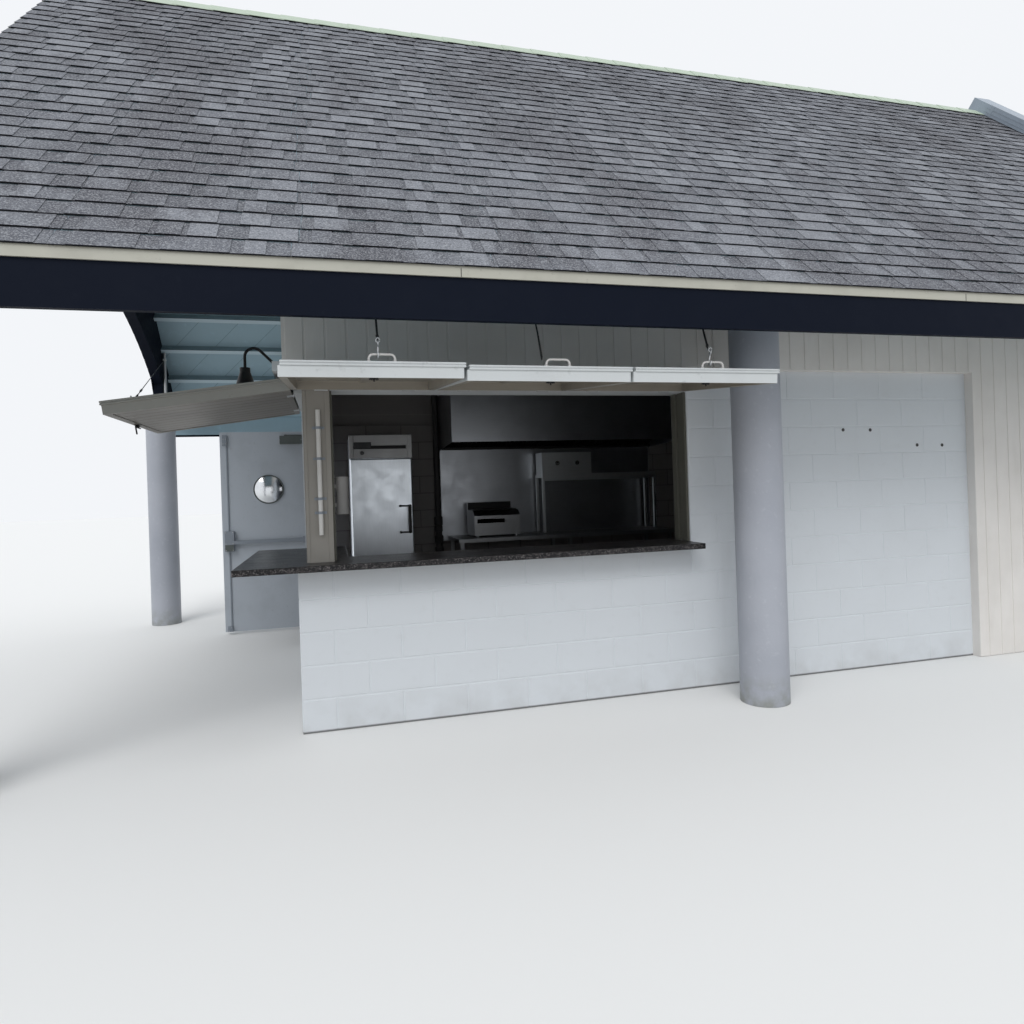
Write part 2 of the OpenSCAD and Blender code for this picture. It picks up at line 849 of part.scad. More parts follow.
// The side hatch's cable runs to a post between a rear column and a purlin
module side_cable() {
  foot = purlin_foot(2);
  x = arch_t / 2 - porch_x + 12 + stay_d / 2;
  y = 2 * mid_y - foot.x;
  low = [-hinge_gap - handle_reach * cos(side_hatch_slope),
    (side_hatch_y0 + side_hatch_y1) / 2 - handle_side + 25,
    hook_z - handle_reach * sin(side_hatch_slope)];
  translate([x, y, column_h]) cylinder(d = stay_d, h = foot.y - 0.3 - column_h);
  translate([x, y, foot.y - 90]) cylinder(d = stay_d + 14, h = 26);
  rod_between(low, [x, y, foot.y - 77], cable_d);
}

module hatch_cables() {
  at_site() color("gray") {
    front_cables();
    side_cable();
  }
}

// The arm leaves the wall level, rises at a slant, and bends over into the shade
module lamp_arm() {
  climb = lamp_top - lamp_z - 2 * arm_r + 2 * arm_r * cos(arm_rise);
  foot = lamp_out - arm_r - 2 * arm_r * sin(arm_rise) - climb / tan(arm_rise);
  path = concat([[side_siding_out, lamp_z]],
    bend([foot, lamp_z + arm_r], arm_r, -90, arm_rise - 90),
    bend([lamp_out - arm_r, lamp_top - arm_r], arm_r, 90 + arm_rise, 0),
    [[lamp_out, shade_top]]);
  at_site() color("black") translate([0, lamp_y, 0]) {
    rotate([90, 0, 0]) mirror([1, 0, 0]) bent_rod(path, arm_d);
    translate([-side_siding_out, 0, lamp_z]) rotate([0, -90, 0]) {
      cylinder(d = 90, h = 14);
      cylinder(d = 50, h = 24);
    }
  }
}

// Hollow shade: a neck, then a flared cone, open below
module lamp_shade() {
  neck = 30;
  wall = 3;
  at_site() color("black") translate([-lamp_out, lamp_y, shade_top - shade_h]) rotate_extrude($fn = 96)
    polygon([[shade_d / 2, 0], [35, shade_h - neck], [35, shade_h], [0, shade_h], [0, shade_h - wall],
      [35 - wall, shade_h - wall], [35 - wall, shade_h - neck - 1], [shade_d / 2 - wall, 0]]);
}

module conduit() {
  low = counter_h + conduit_up;
  at_site() color("white") translate([conduit_x, -conduit_d / 2 - 0.3, low])
    cylinder(d = conduit_d, h = head_z - conduit_down - low);
}

// Refrigerator: carcass, door, upper panel with its grille slot, and a bar handle
module fridge() {
  x1 = fridge_x + fridge_w;
  top = floor_t + fridge_h;
  door_front = 60;
  panel_z = top - panel_h;
  grip_x = x1 - 200;
  grip_z = [1006, 1309];
  at_site() color("gainsboro") {
    box([fridge_x, fridge_y + door_front, floor_t], [x1, fridge_y + fridge_d, top]);
    box([fridge_x + 6, fridge_y, floor_t + 100], [x1 - 6, fridge_y + door_front, panel_z - 6]);
    difference() {
      box([fridge_x, fridge_y, panel_z], [x1, fridge_y + door_front, top]);
      box([fridge_x + 34, fridge_y - 1, panel_z + 78], [x1 - 72, fridge_y + 25, panel_z + 162]);
    }
    translate([fridge_x + 112, fridge_y, panel_z + 48]) rotate([90, 0, 0]) cylinder(d = 40, h = 18);
    for (z = [grip_z[0], grip_z[1] - 24]) {
      box([grip_x, fridge_y - 52, z], [x1 - 74, fridge_y - 28, z + 24]);
      box([x1 - 98, fridge_y - 28, z], [x1 - 74, fridge_y, z + 24]);
    }
    box([grip_x, fridge_y - 52, grip_z[0] + 24], [grip_x + 24, fridge_y - 28, grip_z[1] - 24]);
  }
}

// Extractor hood of sheet metal, open below, with a gutter along its lower edges
module extractor_hood() {
  y0 = inner_y1 - hood_d;
  top = hood_z + hood_h;
  at_site() color("silver") difference() {
    along_x(hood_x, hood_x + hood_l) polygon([
      [y0, hood_z],
      [inner_y1, hood_z - hood_drop],
      [inner_y1, top],
      [y0, top]]);
    along_x(hood_x + sheet_t, hood_x + hood_l - sheet_t) polygon([
      [y0 + sheet_t, hood_z - 100],
      [inner_y1 - sheet_t, hood_z - 100],
      [inner_y1 - sheet_t, top - sheet_t],
      [y0 + sheet_t, top - sheet_t]]);
  }
}

module splash_back() {
  at_site() color("silver")
    box([hood_x + 10, inner_y1 - sheet_t, table_z - 60],
      [hood_x + hood_l - 10, inner_y1, hood_z - hood_drop]);
}

// Table with an undershelf between its legs
module work_table() {
  in = 20;
  low = floor_t + 230;
  x1 = table_x + table_l;
  y1 = table_y + table_d;
  middle = (table_x + x1 - leg_w) / 2;
  span = (table_l - 2 * in - 3 * leg_w) / 2;
  at_site() color("silver") {
    box([table_x, table_y, table_z - top_t], [x1, y1, table_z]);
    for (x = [table_x + in, middle, x1 - in - leg_w], y = [table_y + in, y1 - in - leg_w])
      box([x, y, floor_t], [x + leg_w, y + leg_w, table_z - top_t]);
    for (x = [table_x + in + leg_w, middle + leg_w])
      box([x, table_y + in, low], [x + span, y1 - in, low + top_t]);
  }
}

// Shelf on four posts that stand on the table
module over_shelf() {
  post = 30;
  y1 = table_y + table_d - 40;
  y0 = y1 - shelf_d;
  x1 = table_x + table_l - 20;
  at_site() color("silver") {
    box([shelf_x, y0, shelf_z - top_t], [x1, y1, shelf_z]);
    box([shelf_x, y0, shelf_z - 80], [x1, y0 + 4, shelf_z - top_t]);
    for (x = [shelf_x, x1 - post], y = [y0 + 4, y1 - post])
      box([x, y, table_z], [x + post, y + post, shelf_z - top_t]);
  }
}

module control_box() {
  y1 = table_y + table_d - 50;
  y0 = y1 - shelf_d + 40;
  at_site() color("silver") {
    box([shelf_x + 10, y0, shelf_z], [shelf_x + 10 + control_w, y1, shelf_z + control_h]);
    for (x = [0.3, 0.7]) translate([shelf_x + 10 + x * control_w, y0, shelf_z + control_h / 2])
      rotate([90, 0, 0]) cylinder(d = 45, h = 22);
  }
}

// Griddle with a sloped front panel and a raised back, on four feet
module griddle() {
  y0 = table_y + 180;
  y1 = table_y + table_d - 100;
  foot = 20;
  top = table_z + griddle_h;
  at_site() color("dimgray") {
    along_x(griddle_x, griddle_x + griddle_w) polygon([
      [y0, table_z + foot],
      [y1, table_z + foot],
      [y1, top],
      [y1 - 30, top],
      [y1 - 30, top - 90],
      [y0 + 90, top - 90],
      [y0, top - 150]]);
    for (x = [griddle_x + 40, griddle_x + griddle_w - 40], y = [y0 + 40, y1 - 40])
      translate([x, y, table_z]) cylinder(d = 35, h = foot);
  }
}

module wall_pipe() {
  y = inner_y1 - pipe_d / 2 - 0.3;
  at_site() color("gray") translate([hood_x - 6 - pipe_d / 2, y, floor_t])
    cylinder(d = pipe_d, h = block_wall_h + 600);
}

// A tube for cups, on two brackets
module cup_dispenser() {
  y = side_open_y + 112;
  at_site() color("white") {
    for (z = [cups_z + 60, cups_z + cups_h - 90])
      box([inner_x0, y - 18, z], [inner_x0 + cups_out + 12, y + 18, z + 30]);
    translate([inner_x0 + cups_out + cups_d / 2, y, cups_z]) {
      cylinder(d = cups_d - 8, h = cups_h);
      cylinder(d = cups_d, h = 30);
      translate([0, 0, cups_h - 14]) cylinder(d = cups_d, h = 14);
    }
  }
}

floor_slab();
front_sill_wall();
front_wall();
front_lintel();
corner_post();
side_sill_wall();
side_wall();
side_wall_rear();
side_lintel();
door_head_wall();
back_wall();
right_wall();
ground_siding();
front_siding();
back_siding();
left_gable_siding();
right_gable_siding();
corner_boards();
side_ledge();
counter();
columns();
eave_beams();
gable_arch();
ridge_beam();
purlins();
roof_deck_front();
roof_deck_back();
shingles_front();
shingles_back();
ridge_cap();
fascias();
drip_trims();
rake_boards();
rake_coping();
door_frame();
door_leaf();
door_hinges();
door_mirror();
panic_bar();
door_closer();
hatch_1();
hatch_2();
hatch_3();
side_hatch();
hatch_hinges();
hatch_cables();
lamp_arm();
lamp_shade();
conduit();
fridge();
extractor_hood();
splash_back();
work_table();
over_shelf();
control_box();
griddle();
wall_pipe();
cup_dispenser();
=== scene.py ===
"""Looks of the concession kiosk: finishes, and the small pieces that its solids leave out."""
import math
import random

import bmesh
import bpy
from mathutils import Matrix, Vector


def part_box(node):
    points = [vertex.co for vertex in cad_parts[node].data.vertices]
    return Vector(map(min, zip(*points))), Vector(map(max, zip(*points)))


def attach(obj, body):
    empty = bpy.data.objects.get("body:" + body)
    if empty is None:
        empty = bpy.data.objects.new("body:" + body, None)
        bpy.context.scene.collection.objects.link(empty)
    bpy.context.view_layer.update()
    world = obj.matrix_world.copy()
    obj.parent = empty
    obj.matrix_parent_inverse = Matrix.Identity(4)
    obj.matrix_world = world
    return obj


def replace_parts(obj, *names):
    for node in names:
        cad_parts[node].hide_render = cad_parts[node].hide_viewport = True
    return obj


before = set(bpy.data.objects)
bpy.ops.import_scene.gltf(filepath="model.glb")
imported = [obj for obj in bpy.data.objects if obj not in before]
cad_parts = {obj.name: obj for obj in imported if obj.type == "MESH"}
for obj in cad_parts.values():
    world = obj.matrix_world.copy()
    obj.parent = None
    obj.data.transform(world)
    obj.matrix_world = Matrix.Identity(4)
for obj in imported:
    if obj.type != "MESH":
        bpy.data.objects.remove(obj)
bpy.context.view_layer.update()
scene = bpy.context.scene

# The camera, measured from the photograph
CAMERA_PLACE = (-2.7815, -6.320, 1.448)
CAMERA_YAW = 14.7
CAMERA_ROLL = -1.9
FOCAL_PIXELS = 680.0
CENTRE_PIXEL_Y = 488.0
IMAGE_PIXELS = 1024.0
SENSOR_W = 36.0

# Blocks, in metres: a size counts its joint, and the smallest parts aren't laid
BLOCK_L = 0.4064
BLOCK_H = 0.2032
JOINT_W = 0.009
BLOCK_RELIEF = 0.0024
BLOCK_BEVEL = 0.0025
FRONT_FIRST_JOINT = 0.2032
FIRST_JOINT = 0.203
SMALLEST_PART = 0.015
SMALLEST_BLOCK = 0.03

# Grooved boards
GROOVE_PITCH = 0.1245
GROOVE_W = 0.011
GROOVE_SLANT = 0.002
PLANK_RELIEF = 0.005
FIRST_GROOVE = 0.079

# Roof: a depth is measured square to the slope, from the upper face of the shingles
PITCH = math.radians(45)
SHINGLE_COURSES = 32
SHINGLE_T = 0.012
DECK_DEPTH = 0.050
PURLIN_DEPTH = 0.140
PURLIN_W = 0.045
FIRST_PURLIN = 0.300
PURLIN_STEP = 0.421
COPING_H = 0.110
FASCIA_BACK = 3.1385
DRIP_FACE = 3.196
DRIP_JOINTS = (-1.1, 0.832, 3.789, 6.746)
ARCH_R = 3.990
ARCH_CROWN = 3.550
ARCH_FOOT = 2.340

# Openings and hatches; the post is given as x0, x1, y0, y1
OPEN_X = 2.640
HEAD_Z = 2.085
POST = (0.058, 0.216, 0.004, 0.150)
HINGE_GAP = 0.006
HATCH_L = 1.041
HATCH_BOARD = 0.054
HATCH_TOP = 0.078
HATCH_RIM = 0.038
HATCH_INSET = 0.006
HATCH_STEP = 2.648 / 3
HATCH_W = HATCH_STEP - 0.015
HATCH_SLOPES = (5.2, 5.8, 5.8)
SIDE_HATCH_W = 1.250
SIDE_HATCH_Y = 1.262
SIDE_HATCH_SLOPE = 8
HANDLE_SIDE = 0.040
HANDLE_Y = HATCH_INSET + HATCH_RIM / 2 - HATCH_L

# Small things on the walls, as x and z
HOLES = ((3.938, 1.802), (4.182, 1.799), (4.615, 1.678), (4.855, 1.674))
CONDUIT_X = 0.144
CONDUIT_R = 0.0150
STRAP_LEVELS = (1.845, 1.657, 1.413, 1.328)

# Places read from the solids: the corner is the front left foot of the room
post_lo, post_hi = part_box("corner_post")
roof_lo, roof_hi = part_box("shingles_front")
wall_lo, wall_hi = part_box("front_wall")
arch_lo, arch_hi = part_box("gable_arch")
corner = Vector((post_lo.x, post_lo.y, 0.0))
RIDGE_Z = roof_hi.z
EAVE_Z = RIDGE_Z + roof_lo.y
SLOPE_L = -roof_lo.y / math.cos(PITCH)
WALL_TOP = wall_hi.z
WALL_T = wall_hi.y - wall_lo.y
ROOM_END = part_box("right_wall")[1].x
COUNTER_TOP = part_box("counter")[1].z


# Points

def at(x, y, z):
    """A point given in metres from the room's front left corner."""
    return Vector((corner.x + x, corner.y + y, z))


def rectangle(rect, inset=0.0):
    """The corners of a rectangle (u0, v0, u1, v1) whose sides are moved in by inset."""
    u0, v0, u1, v1 = rect[0] + inset, rect[1] + inset, rect[2] - inset, rect[3] - inset
    return [(u0, v0), (u1, v0), (u1, v1), (u0, v1)]


def arc(centre, right, up, start=0, end=360, steps=12):
    """Points round a centre, from start to end in degrees; right and up are its two radii."""
    turns = [math.radians(start + (end - start) * k / steps) for k in range(steps + 1)]
    return [tuple(c + r * math.cos(t) + u * math.sin(t) for c, r, u in zip(centre, right, up)) for t in turns]


def ring_xz(centre, radius, steps=12):
    return arc(centre, (radius, 0, 0), (0, 0, radius), steps=steps)


def moved(points, x=0.0, y=0.0, z=0.0):
    return [(p[0] + x, p[1] + y, p[2] + z) for p in points]


def under_roof(y, deep):
    """Height of a plane under the roof at a place across it."""
    return RIDGE_Z - abs(y) * math.tan(PITCH) - deep / math.cos(PITCH)


def slope_point(x, up, deep, side):
    """A point of the roof: up is measured along the slope from the eave's edge."""
    y = roof_lo.y + up * math.cos(PITCH) + deep * math.sin(PITCH)
    z = RIDGE_Z + roof_lo.y * math.tan(PITCH) + up * math.sin(PITCH) - deep * math.cos(PITCH)
    return Vector((x, side * y, z))


def wall_face(along, fixed, side, start=0.0):
    """Gives place(u, z, out) for a wall that runs along X or Y from start and looks to side."""
    def place(u, z, out):
        a, b = start + u, fixed + side * out
        return Vector((a, b, z) if along == "X" else (b, a, z))
    return place


# Meshes

def add_piece(name, mesh, finish, body="kiosk"):
    """Puts a mesh into the scene as a piece that rides on a body."""
    mesh.materials.append(MATERIALS[finish])
    piece = bpy.data.objects.new(name, mesh)
    scene.collection.objects.link(piece)
    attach(piece, body)
    return piece


class Shape:
    """Gathers many small solids into one mesh. Each face has a tone, which finishes can read."""

    def __init__(self, matrix=None):
        self.verts = []
        self.faces = []
        self.tones = []
        self.matrix = matrix or Matrix.Identity(4)

    def loft(self, rings, tone=0.5):
        """A closed solid through rings of as many points each."""
        start, n = len(self.verts), len(rings[0])
        self.verts += [self.matrix @ Vector(point) for ring in rings for point in ring]
        faces = [(n * k + i, n * k + (i + 1) % n, n * (k + 1) + (i + 1) % n, n * (k + 1) + i)
                 for k in range(len(rings) - 1) for i in range(n)]
        last = n * (len(rings) - 1)
        faces += [tuple(range(n - 1, -1, -1)), tuple(range(last, last + n))]
        self.faces += [tuple(start + i for i in face) for face in faces]
        self.tones += [tone] * len(faces)

    def box(self, lo, hi, bevel=0.0, tone=0.5):
        """A box whose twelve edges are chamfered by bevel."""
        if not bevel:
            outline = rectangle((lo[0], lo[1], hi[0], hi[1]))
            self.loft([[(x, y, z) for x, y in outline] for z in (lo[2], hi[2])], tone)
            return
        rings = []
        for z, inset in ((lo[2], bevel), (lo[2] + bevel, 0), (hi[2] - bevel, 0), (hi[2], bevel)):
            x0, x1, y0, y1 = lo[0] + inset, hi[0] - inset, lo[1] + inset, hi[1] - inset
            c = bevel * 0.5 if inset else bevel
            rings.append([(x0 + c, y0, z), (x1 - c, y0, z), (x1, y0 + c, z), (x1, y1 - c, z),
                          (x1 - c, y1, z), (x0 + c, y1, z), (x0, y1 - c, z), (x0, y0 + c, z)])
        self.loft(rings, tone)

    def boxes(self, rows):
        """Several boxes, each given as low corner, high corner and bevel."""
        for lo, hi, bevel in rows:
            self.box(lo, hi, bevel)

    def tube(self, path, radius, sides=12):
        """A round rod along a path; radius may be one number or one for each point."""
        points = [Vector(p) for p in path]
        radii = radius if isinstance(radius, (list, tuple)) else [radius] * len(points)
        side = None
        rings = []
        for i, p in enumerate(points):
            ahead = points[min(i + 1, len(points) - 1)] - points[max(i - 1, 0)]
            ahead.normalize()
            if side is None:
                side = ahead.orthogonal().normalized()
            side = (side - ahead * side.dot(ahead)).normalized()
            up = ahead.cross(side)
            rings.append([p + (side * math.cos(a) + up * math.sin(a)) * radii[i]
                          for a in (2 * math.pi * k / sides for k in range(sides))])
        self.loft(rings)

    def disc(self, centre, axis, radius, height, sides=16):
        """A short round boss with a chamfered rim, standing on centre along axis."""
        c, a = Vector(centre), Vector(axis).normalized()
        self.tube([c, c + a * height * 0.75, c + a * height], [radius, radius, radius * 0.82], sides)

    def piece(self, name, finish, slot, body="kiosk", smooth=False):
        """Turns what was gathered into one piece."""
        mesh = bpy.data.meshes.new(name)
        mesh.from_pydata([tuple(v) for v in self.verts], [], self.faces)
        mesh.attributes.new("tone", "FLOAT", "FACE").data.foreach_set("value", self.tones)
        for polygon in mesh.polygons:
            polygon.use_smooth = smooth
        bm = bmesh.new()
        bm.from_mesh(mesh)
        bmesh.ops.recalc_face_normals(bm, faces=bm.faces[:])
        bm.to_mesh(mesh)
        bm.free()
        mesh.update()
        return add_piece(name, mesh, finish, body)


# Shader nodes

MATERIALS = {}


def add_node(tree, kind, inputs, output, **options):
    """Adds a shader node and gives one of its outputs. An input is a value or another output."""
    node = tree.nodes.new("ShaderNode" + kind)
    for name, value in options.items():
        setattr(node, name, value)
    for name, value in inputs.items():
        if isinstance(value, bpy.types.NodeSocket):
            tree.links.new(value, node.inputs[name])
        else:
            node.inputs[name].default_value = value
    return node.outputs[output]


def shade(color, share):
    return tuple(c * share for c in color)


class Finish:
    """A procedural material that is built up in steps, and kept under its name."""

    def __init__(self, name, color, rough, metal=0.0, shine=0.5):
        self.color = (*color, 1.0)
        self.height = None
        material = bpy.data.materials.new(name)
        material.use_nodes = True
        self.tree = material.node_tree
        self.shader = self.tree.nodes["Principled BSDF"]
        self.shader.inputs["Base Color"].default_value = self.color
        self.shader.inputs["Roughness"].default_value = rough
        self.shader.inputs["Metallic"].default_value = metal
        self.shader.inputs["Specular IOR Level"].default_value = shine
        self.place = self.node("TexCoord", {}, "Object")
        MATERIALS[name] = material

    def node(self, kind, inputs, output, **options):
        return add_node(self.tree, kind, inputs, output, **options)

    def noise(self, scale, detail=4.0, rough=0.55, stretch=None):
        place = self.place
        if stretch:
            place = self.node("Mapping", {"Vector": place, "Scale": stretch}, "Vector")
        inputs = {"Vector": place, "Scale": scale, "Detail": detail, "Roughness": rough}
        return self.node("TexNoise", inputs, "Fac")

    def cells(self, scale, output="Distance"):
        return self.node("TexVoronoi", {"Vector": self.place, "Scale": scale}, output)

    def tone(self):
        return self.node("Attribute", {}, "Fac", attribute_name="tone")

    def upright(self, source="Object"):
        """The Z part of the place, or of the normal."""
        return self.node("SeparateXYZ", {0: self.node("TexCoord", {}, source)}, "Z")

    def math(self, operation, a, b=0.5):
        return self.node("Math", {0: a, 1: b}, 0, operation=operation)

    def band(self, fac, low, high):
        """Maps low..high to 0..1, clipped."""
        return self.node("MapRange", {"Value": fac, "From Min": low, "From Max": high}, "Result")

    def tint(self, fac, color, most=1.0):
        """Blends the colour so far towards another where fac is high."""
        inputs = {"Factor": self.math("MULTIPLY", fac, most), "A": self.color, "B": (*color, 1.0)}
        self.color = self.node("Mix", inputs, "Result", data_type="RGBA")

    def patches(self, low, high, color, most, *grain, stretch=None):
        """Tints where a noise is higher than low, fully from high on."""
        self.tint(self.band(self.noise(*grain, stretch=stretch), low, high), color, most)

    def raise_by(self, fac, amount):
        """Adds fac times amount, in metres, to the relief."""
        part = self.math("MULTIPLY", fac, amount)
        self.height = part if self.height is None else self.math("ADD", self.height, part)

    def vary_rough(self, fac, low, high):
        rough = self.node("MapRange", {"Value": fac, "To Min": low, "To Max": high}, "Result")
        self.tree.links.new(rough, self.shader.inputs["Roughness"])

    def done(self):
        """Links the colour and the relief to the shader."""
        self.tree.links.new(self.color, self.shader.inputs["Base Color"])
        if self.height is not None:
            normal = self.node("Bump", {"Height": self.height, "Distance": 1.0, "Strength": 1.0}, "Normal")
            self.tree.links.new(normal, self.shader.inputs["Normal"])


# Finishes

def painted_block(name, color, dirt):
    """Paint over block: pores, faint patches, streaks, dirt towards the foot and a dark line along the foot.
    """
    f = Finish(name, color, 0.6, shine=0.3)
    f.patches(0.45, 0.8, dirt, 0.16, 1.1, 5.0)
    f.patches(0.58, 0.8, dirt, 0.12, 14.0, 4.0)
    low = f.band(f.upright(), 0.24, 0.0)
    f.tint(f.math("MULTIPLY", low, f.band(f.noise(5.0, 5.0), 0.4, 0.75)), (0.36, 0.35, 0.33), 0.38)
    # A dark line along the lowest 16 mm of the wall.
    f.tint(f.band(f.upright(), 0.016, 0.008), (0.09, 0.088, 0.084), 0.8)
    f.patches(0.62, 0.8, dirt, 0.14, 7.0, 3.0, stretch=(1.0, 1.0, 0.12))
    f.raise_by(f.noise(230.0, 3.0), 0.0007)
    f.raise_by(f.band(f.cells(160.0), 0.0, 0.35), 0.0004)
    f.vary_rough(f.noise(30.0), 0.5, 0.75)
    f.done()


def painted_board(name, color, dirt, rough=0.55, dirt_most=0.35):
    """Painted wood: grain shows through, dirt gathers in patches."""
    f = Finish(name, color, rough, shine=0.3)
    f.patches(0.45, 0.8, dirt, dirt_most, 2.2, 5.0)
    f.patches(0.58, 0.8, dirt, dirt_most * 0.7, 9.0, 4.0, stretch=(1.0, 1.0, 0.15))
    f.raise_by(f.noise(4.0, 6.0, 0.6, stretch=(30.0, 30.0, 1.5)), 0.0006)
    f.vary_rough(f.noise(25.0), rough - 0.08, rough + 0.12)
    f.done()


def painted_metal(name, color, dirt, rough=0.4, patch=3.0, dents=0.0, shine=0.5):
    f = Finish(name, color, rough, shine=shine)
    f.patches(0.5, 0.8, dirt, 0.4, patch, 6.0)
    f.patches(0.64, 0.72, dirt, 0.32, 45.0, 3.0)
    f.raise_by(f.noise(120.0, 3.0), 0.0002)
    if dents:
        f.raise_by(f.noise(3.0, 1.0), dents)
    f.vary_rough(f.noise(18.0), rough - 0.08, rough + 0.15)
    f.done()


def steel(name, color, rough, brush, dirt_most=0.35):
    """Brushed sheet: fine lines along one way, smears and grime."""
    f = Finish(name, color, rough, metal=1.0)
    lines = f.noise(6.0, 5.0, 0.7, stretch=brush)
    f.patches(0.45, 0.75, shade(color, 0.55), dirt_most, 3.0, 5.0)
    f.tint(f.band(lines, 0.4, 0.7), shade(color, 0.8), 0.4)
    f.raise_by(lines, 0.00012)
    f.vary_rough(f.noise(7.0, 4.0), rough - 0.08, rough + 0.2)
    f.done()


def column_paint():
    f = Finish("column_paint", (0.40, 0.42, 0.47), 0.5)
    f.patches(0.4, 0.75, (0.29, 0.31, 0.36), 0.6, 1.6, 5.0)
    f.patches(0.6, 0.75, (0.52, 0.54, 0.58), 0.35, 26.0, 4.0)
    low = f.band(f.upright(), 0.22, 0.0)
    f.tint(f.math("MULTIPLY", low, f.band(f.noise(12.0, 4.0), 0.35, 0.65)), (0.22, 0.23, 0.19), 0.7)
    f.raise_by(f.noise(60.0, 4.0), 0.0012)
    f.done()


def shingle_grit():
    """Mineral granules over asphalt, with the dark weathering of an old roof, and painted shade along the
    lower edge of each course and sheet.
    """
    f = Finish("shingle_grit", (0.116, 0.123, 0.144), 0.9, shine=0.2)
    tone = f.tone()
    f.tint(f.band(tone, 0.45, 0.0), (0.048, 0.050, 0.062), 0.75)
    f.tint(f.band(tone, 0.58, 0.95), (0.225, 0.237, 0.266), 0.75)
    f.patches(0.46, 0.62, (0.185, 0.196, 0.220), 0.45, 5.5, 4.0, 0.6)
    f.patches(0.49, 0.60, (0.048, 0.047, 0.058), 0.72, 1.25, 6.0, 0.66, stretch=(1.0, 0.55, 0.55))
    f.patches(0.55, 0.65, (0.050, 0.050, 0.062), 0.5, 4.2, 4.0, 0.6, stretch=(1.0, 0.7, 0.7))
    f.patches(0.50, 0.60, (0.46, 0.475, 0.50), 0.50, 115.0, 3.0, 0.7)
    f.patches(0.54, 0.64, (0.022, 0.023, 0.029), 0.58, 95.0, 3.0, 0.7)
    f.patches(0.50, 0.62, (0.46, 0.47, 0.49), 0.25, 330.0, 2.0)
    # Painted shadow with some dirt: a dark band on each course just under the lower edge of the course above,
    # where that edge casts its shade.
    rise = (RIDGE_Z - EAVE_Z) / SHINGLE_COURSES
    courses = f.math("DIVIDE", f.math("SUBTRACT", f.upright(), EAVE_Z), rise)
    f.tint(f.band(f.math("FRACT", courses), 0.89, 0.94), (0.014, 0.015, 0.020), 0.88)
    # Painted shade: faces with a tone below 0, the lower edges of the sheets, go near black.
    f.tint(f.band(tone, 0.0, -0.3), (0.010, 0.011, 0.014), 0.95)
    f.raise_by(f.noise(350.0, 3.0), 0.0012)
    f.done()


def granite():
    """Polished black stone with grey and pale crystals."""
    f = Finish("granite", (0.008, 0.008, 0.009), 0.3, shine=0.22)
    f.tint(f.band(f.cells(70.0, "Color"), 0.55, 0.85), (0.075, 0.068, 0.068), 0.85)
    f.patches(0.56, 0.64, (0.26, 0.24, 0.24), 0.75, 130.0, 3.0, 0.7)
    f.patches(0.55, 0.66, (0.006, 0.006, 0.007), 0.9, 60.0, 3.0)
    f.vary_rough(f.noise(9.0), 0.22, 0.40)
    f.done()


def concrete():
    f = Finish("concrete", (0.33, 0.32, 0.30), 0.85)
    f.patches(0.4, 0.7, (0.20, 0.19, 0.18), 0.6, 2.0, 6.0)
    f.patches(0.55, 0.7, (0.42, 0.41, 0.39), 0.4, 40.0, 4.0)
    f.raise_by(f.noise(90.0, 4.0), 0.0015)
    f.done()


def hatch_paint(name, color, under):
    """Pale outside and darker beige inside; the inner faces carry the tone 1."""
    f = Finish(name, color, 0.45, shine=0.3)
    f.patches(0.45, 0.75, shade(color, 0.72), 0.35, 2.5, 5.0)
    f.patches(0.62, 0.74, shade(color, 0.55), 0.35, 24.0, 4.0)
    inside = f.band(f.tone(), 0.85, 0.95)
    f.tint(inside, under, 1.0)
    f.tint(f.math("MULTIPLY", inside, f.band(f.noise(3.0, 5.0), 0.45, 0.7)), shade(under, 0.6), 0.5)
    f.raise_by(f.noise(60.0, 4.0), 0.0004)
    f.done()


def ceiling_paint(name, color, below=None):
    """Blue-grey paint; below is a paler colour painted on the faces that look down, as painted light."""
    f = Finish(name, color, 0.6, shine=0.3)
    f.patches(0.4, 0.75, shade(color, 0.75), 0.5, 1.5, 5.0)
    f.patches(0.6, 0.75, shade(color, 1.25), 0.4, 10.0, 4.0)
    if below:
        # Painted light: faces whose normal points down turn to the paler colour below.
        f.tint(f.band(f.upright("Normal"), -0.5, -0.65), below, 0.9)
    f.raise_by(f.noise(5.0, 5.0, stretch=(1.0, 14.0, 14.0)), 0.0008)
    f.done()


ACROSS = (1.0, 30.0, 30.0)
painted_block("white_block", (0.70, 0.735, 0.77), (0.50, 0.51, 0.51))
painted_block("inner_block", (0.34, 0.32, 0.315), (0.19, 0.175, 0.165))
painted_block("mortar", (0.21, 0.195, 0.19), (0.13, 0.12, 0.11))
painted_board("trim", (0.68, 0.71, 0.73), (0.42, 0.41, 0.38), 0.45)
painted_board("post", (0.30, 0.285, 0.26), (0.20, 0.185, 0.16), 0.5)
painted_board("jamb", (0.115, 0.115, 0.095), (0.07, 0.07, 0.06), 0.5)
painted_board("siding", (0.80, 0.775, 0.745), (0.52, 0.49, 0.45), 0.6, dirt_most=0.30)
painted_metal("navy", (0.0060, 0.0085, 0.0165), (0.010, 0.013, 0.022), 0.55, shine=0.05)
painted_metal("cream", (0.44, 0.435, 0.375), (0.27, 0.26, 0.22), 0.45, patch=6.0)
painted_metal("green", (0.42, 0.50, 0.40), (0.24, 0.28, 0.22), 0.45)
painted_metal("coping", (0.28, 0.33, 0.39), (0.18, 0.20, 0.23), 0.35)
painted_metal("door", (0.44, 0.48, 0.53), (0.30, 0.32, 0.35), 0.42, dents=0.002)
painted_metal("frame", (0.30, 0.32, 0.35), (0.18, 0.18, 0.18), 0.45)
painted_metal("black", (0.010, 0.010, 0.011), (0.035, 0.033, 0.030), 0.4, shine=0.3)
painted_metal("dark_glass", (0.020, 0.022, 0.026), (0.05, 0.05, 0.05), 0.15)
painted_metal("case", (0.23, 0.26, 0.30), (0.14, 0.15, 0.16), 0.4)
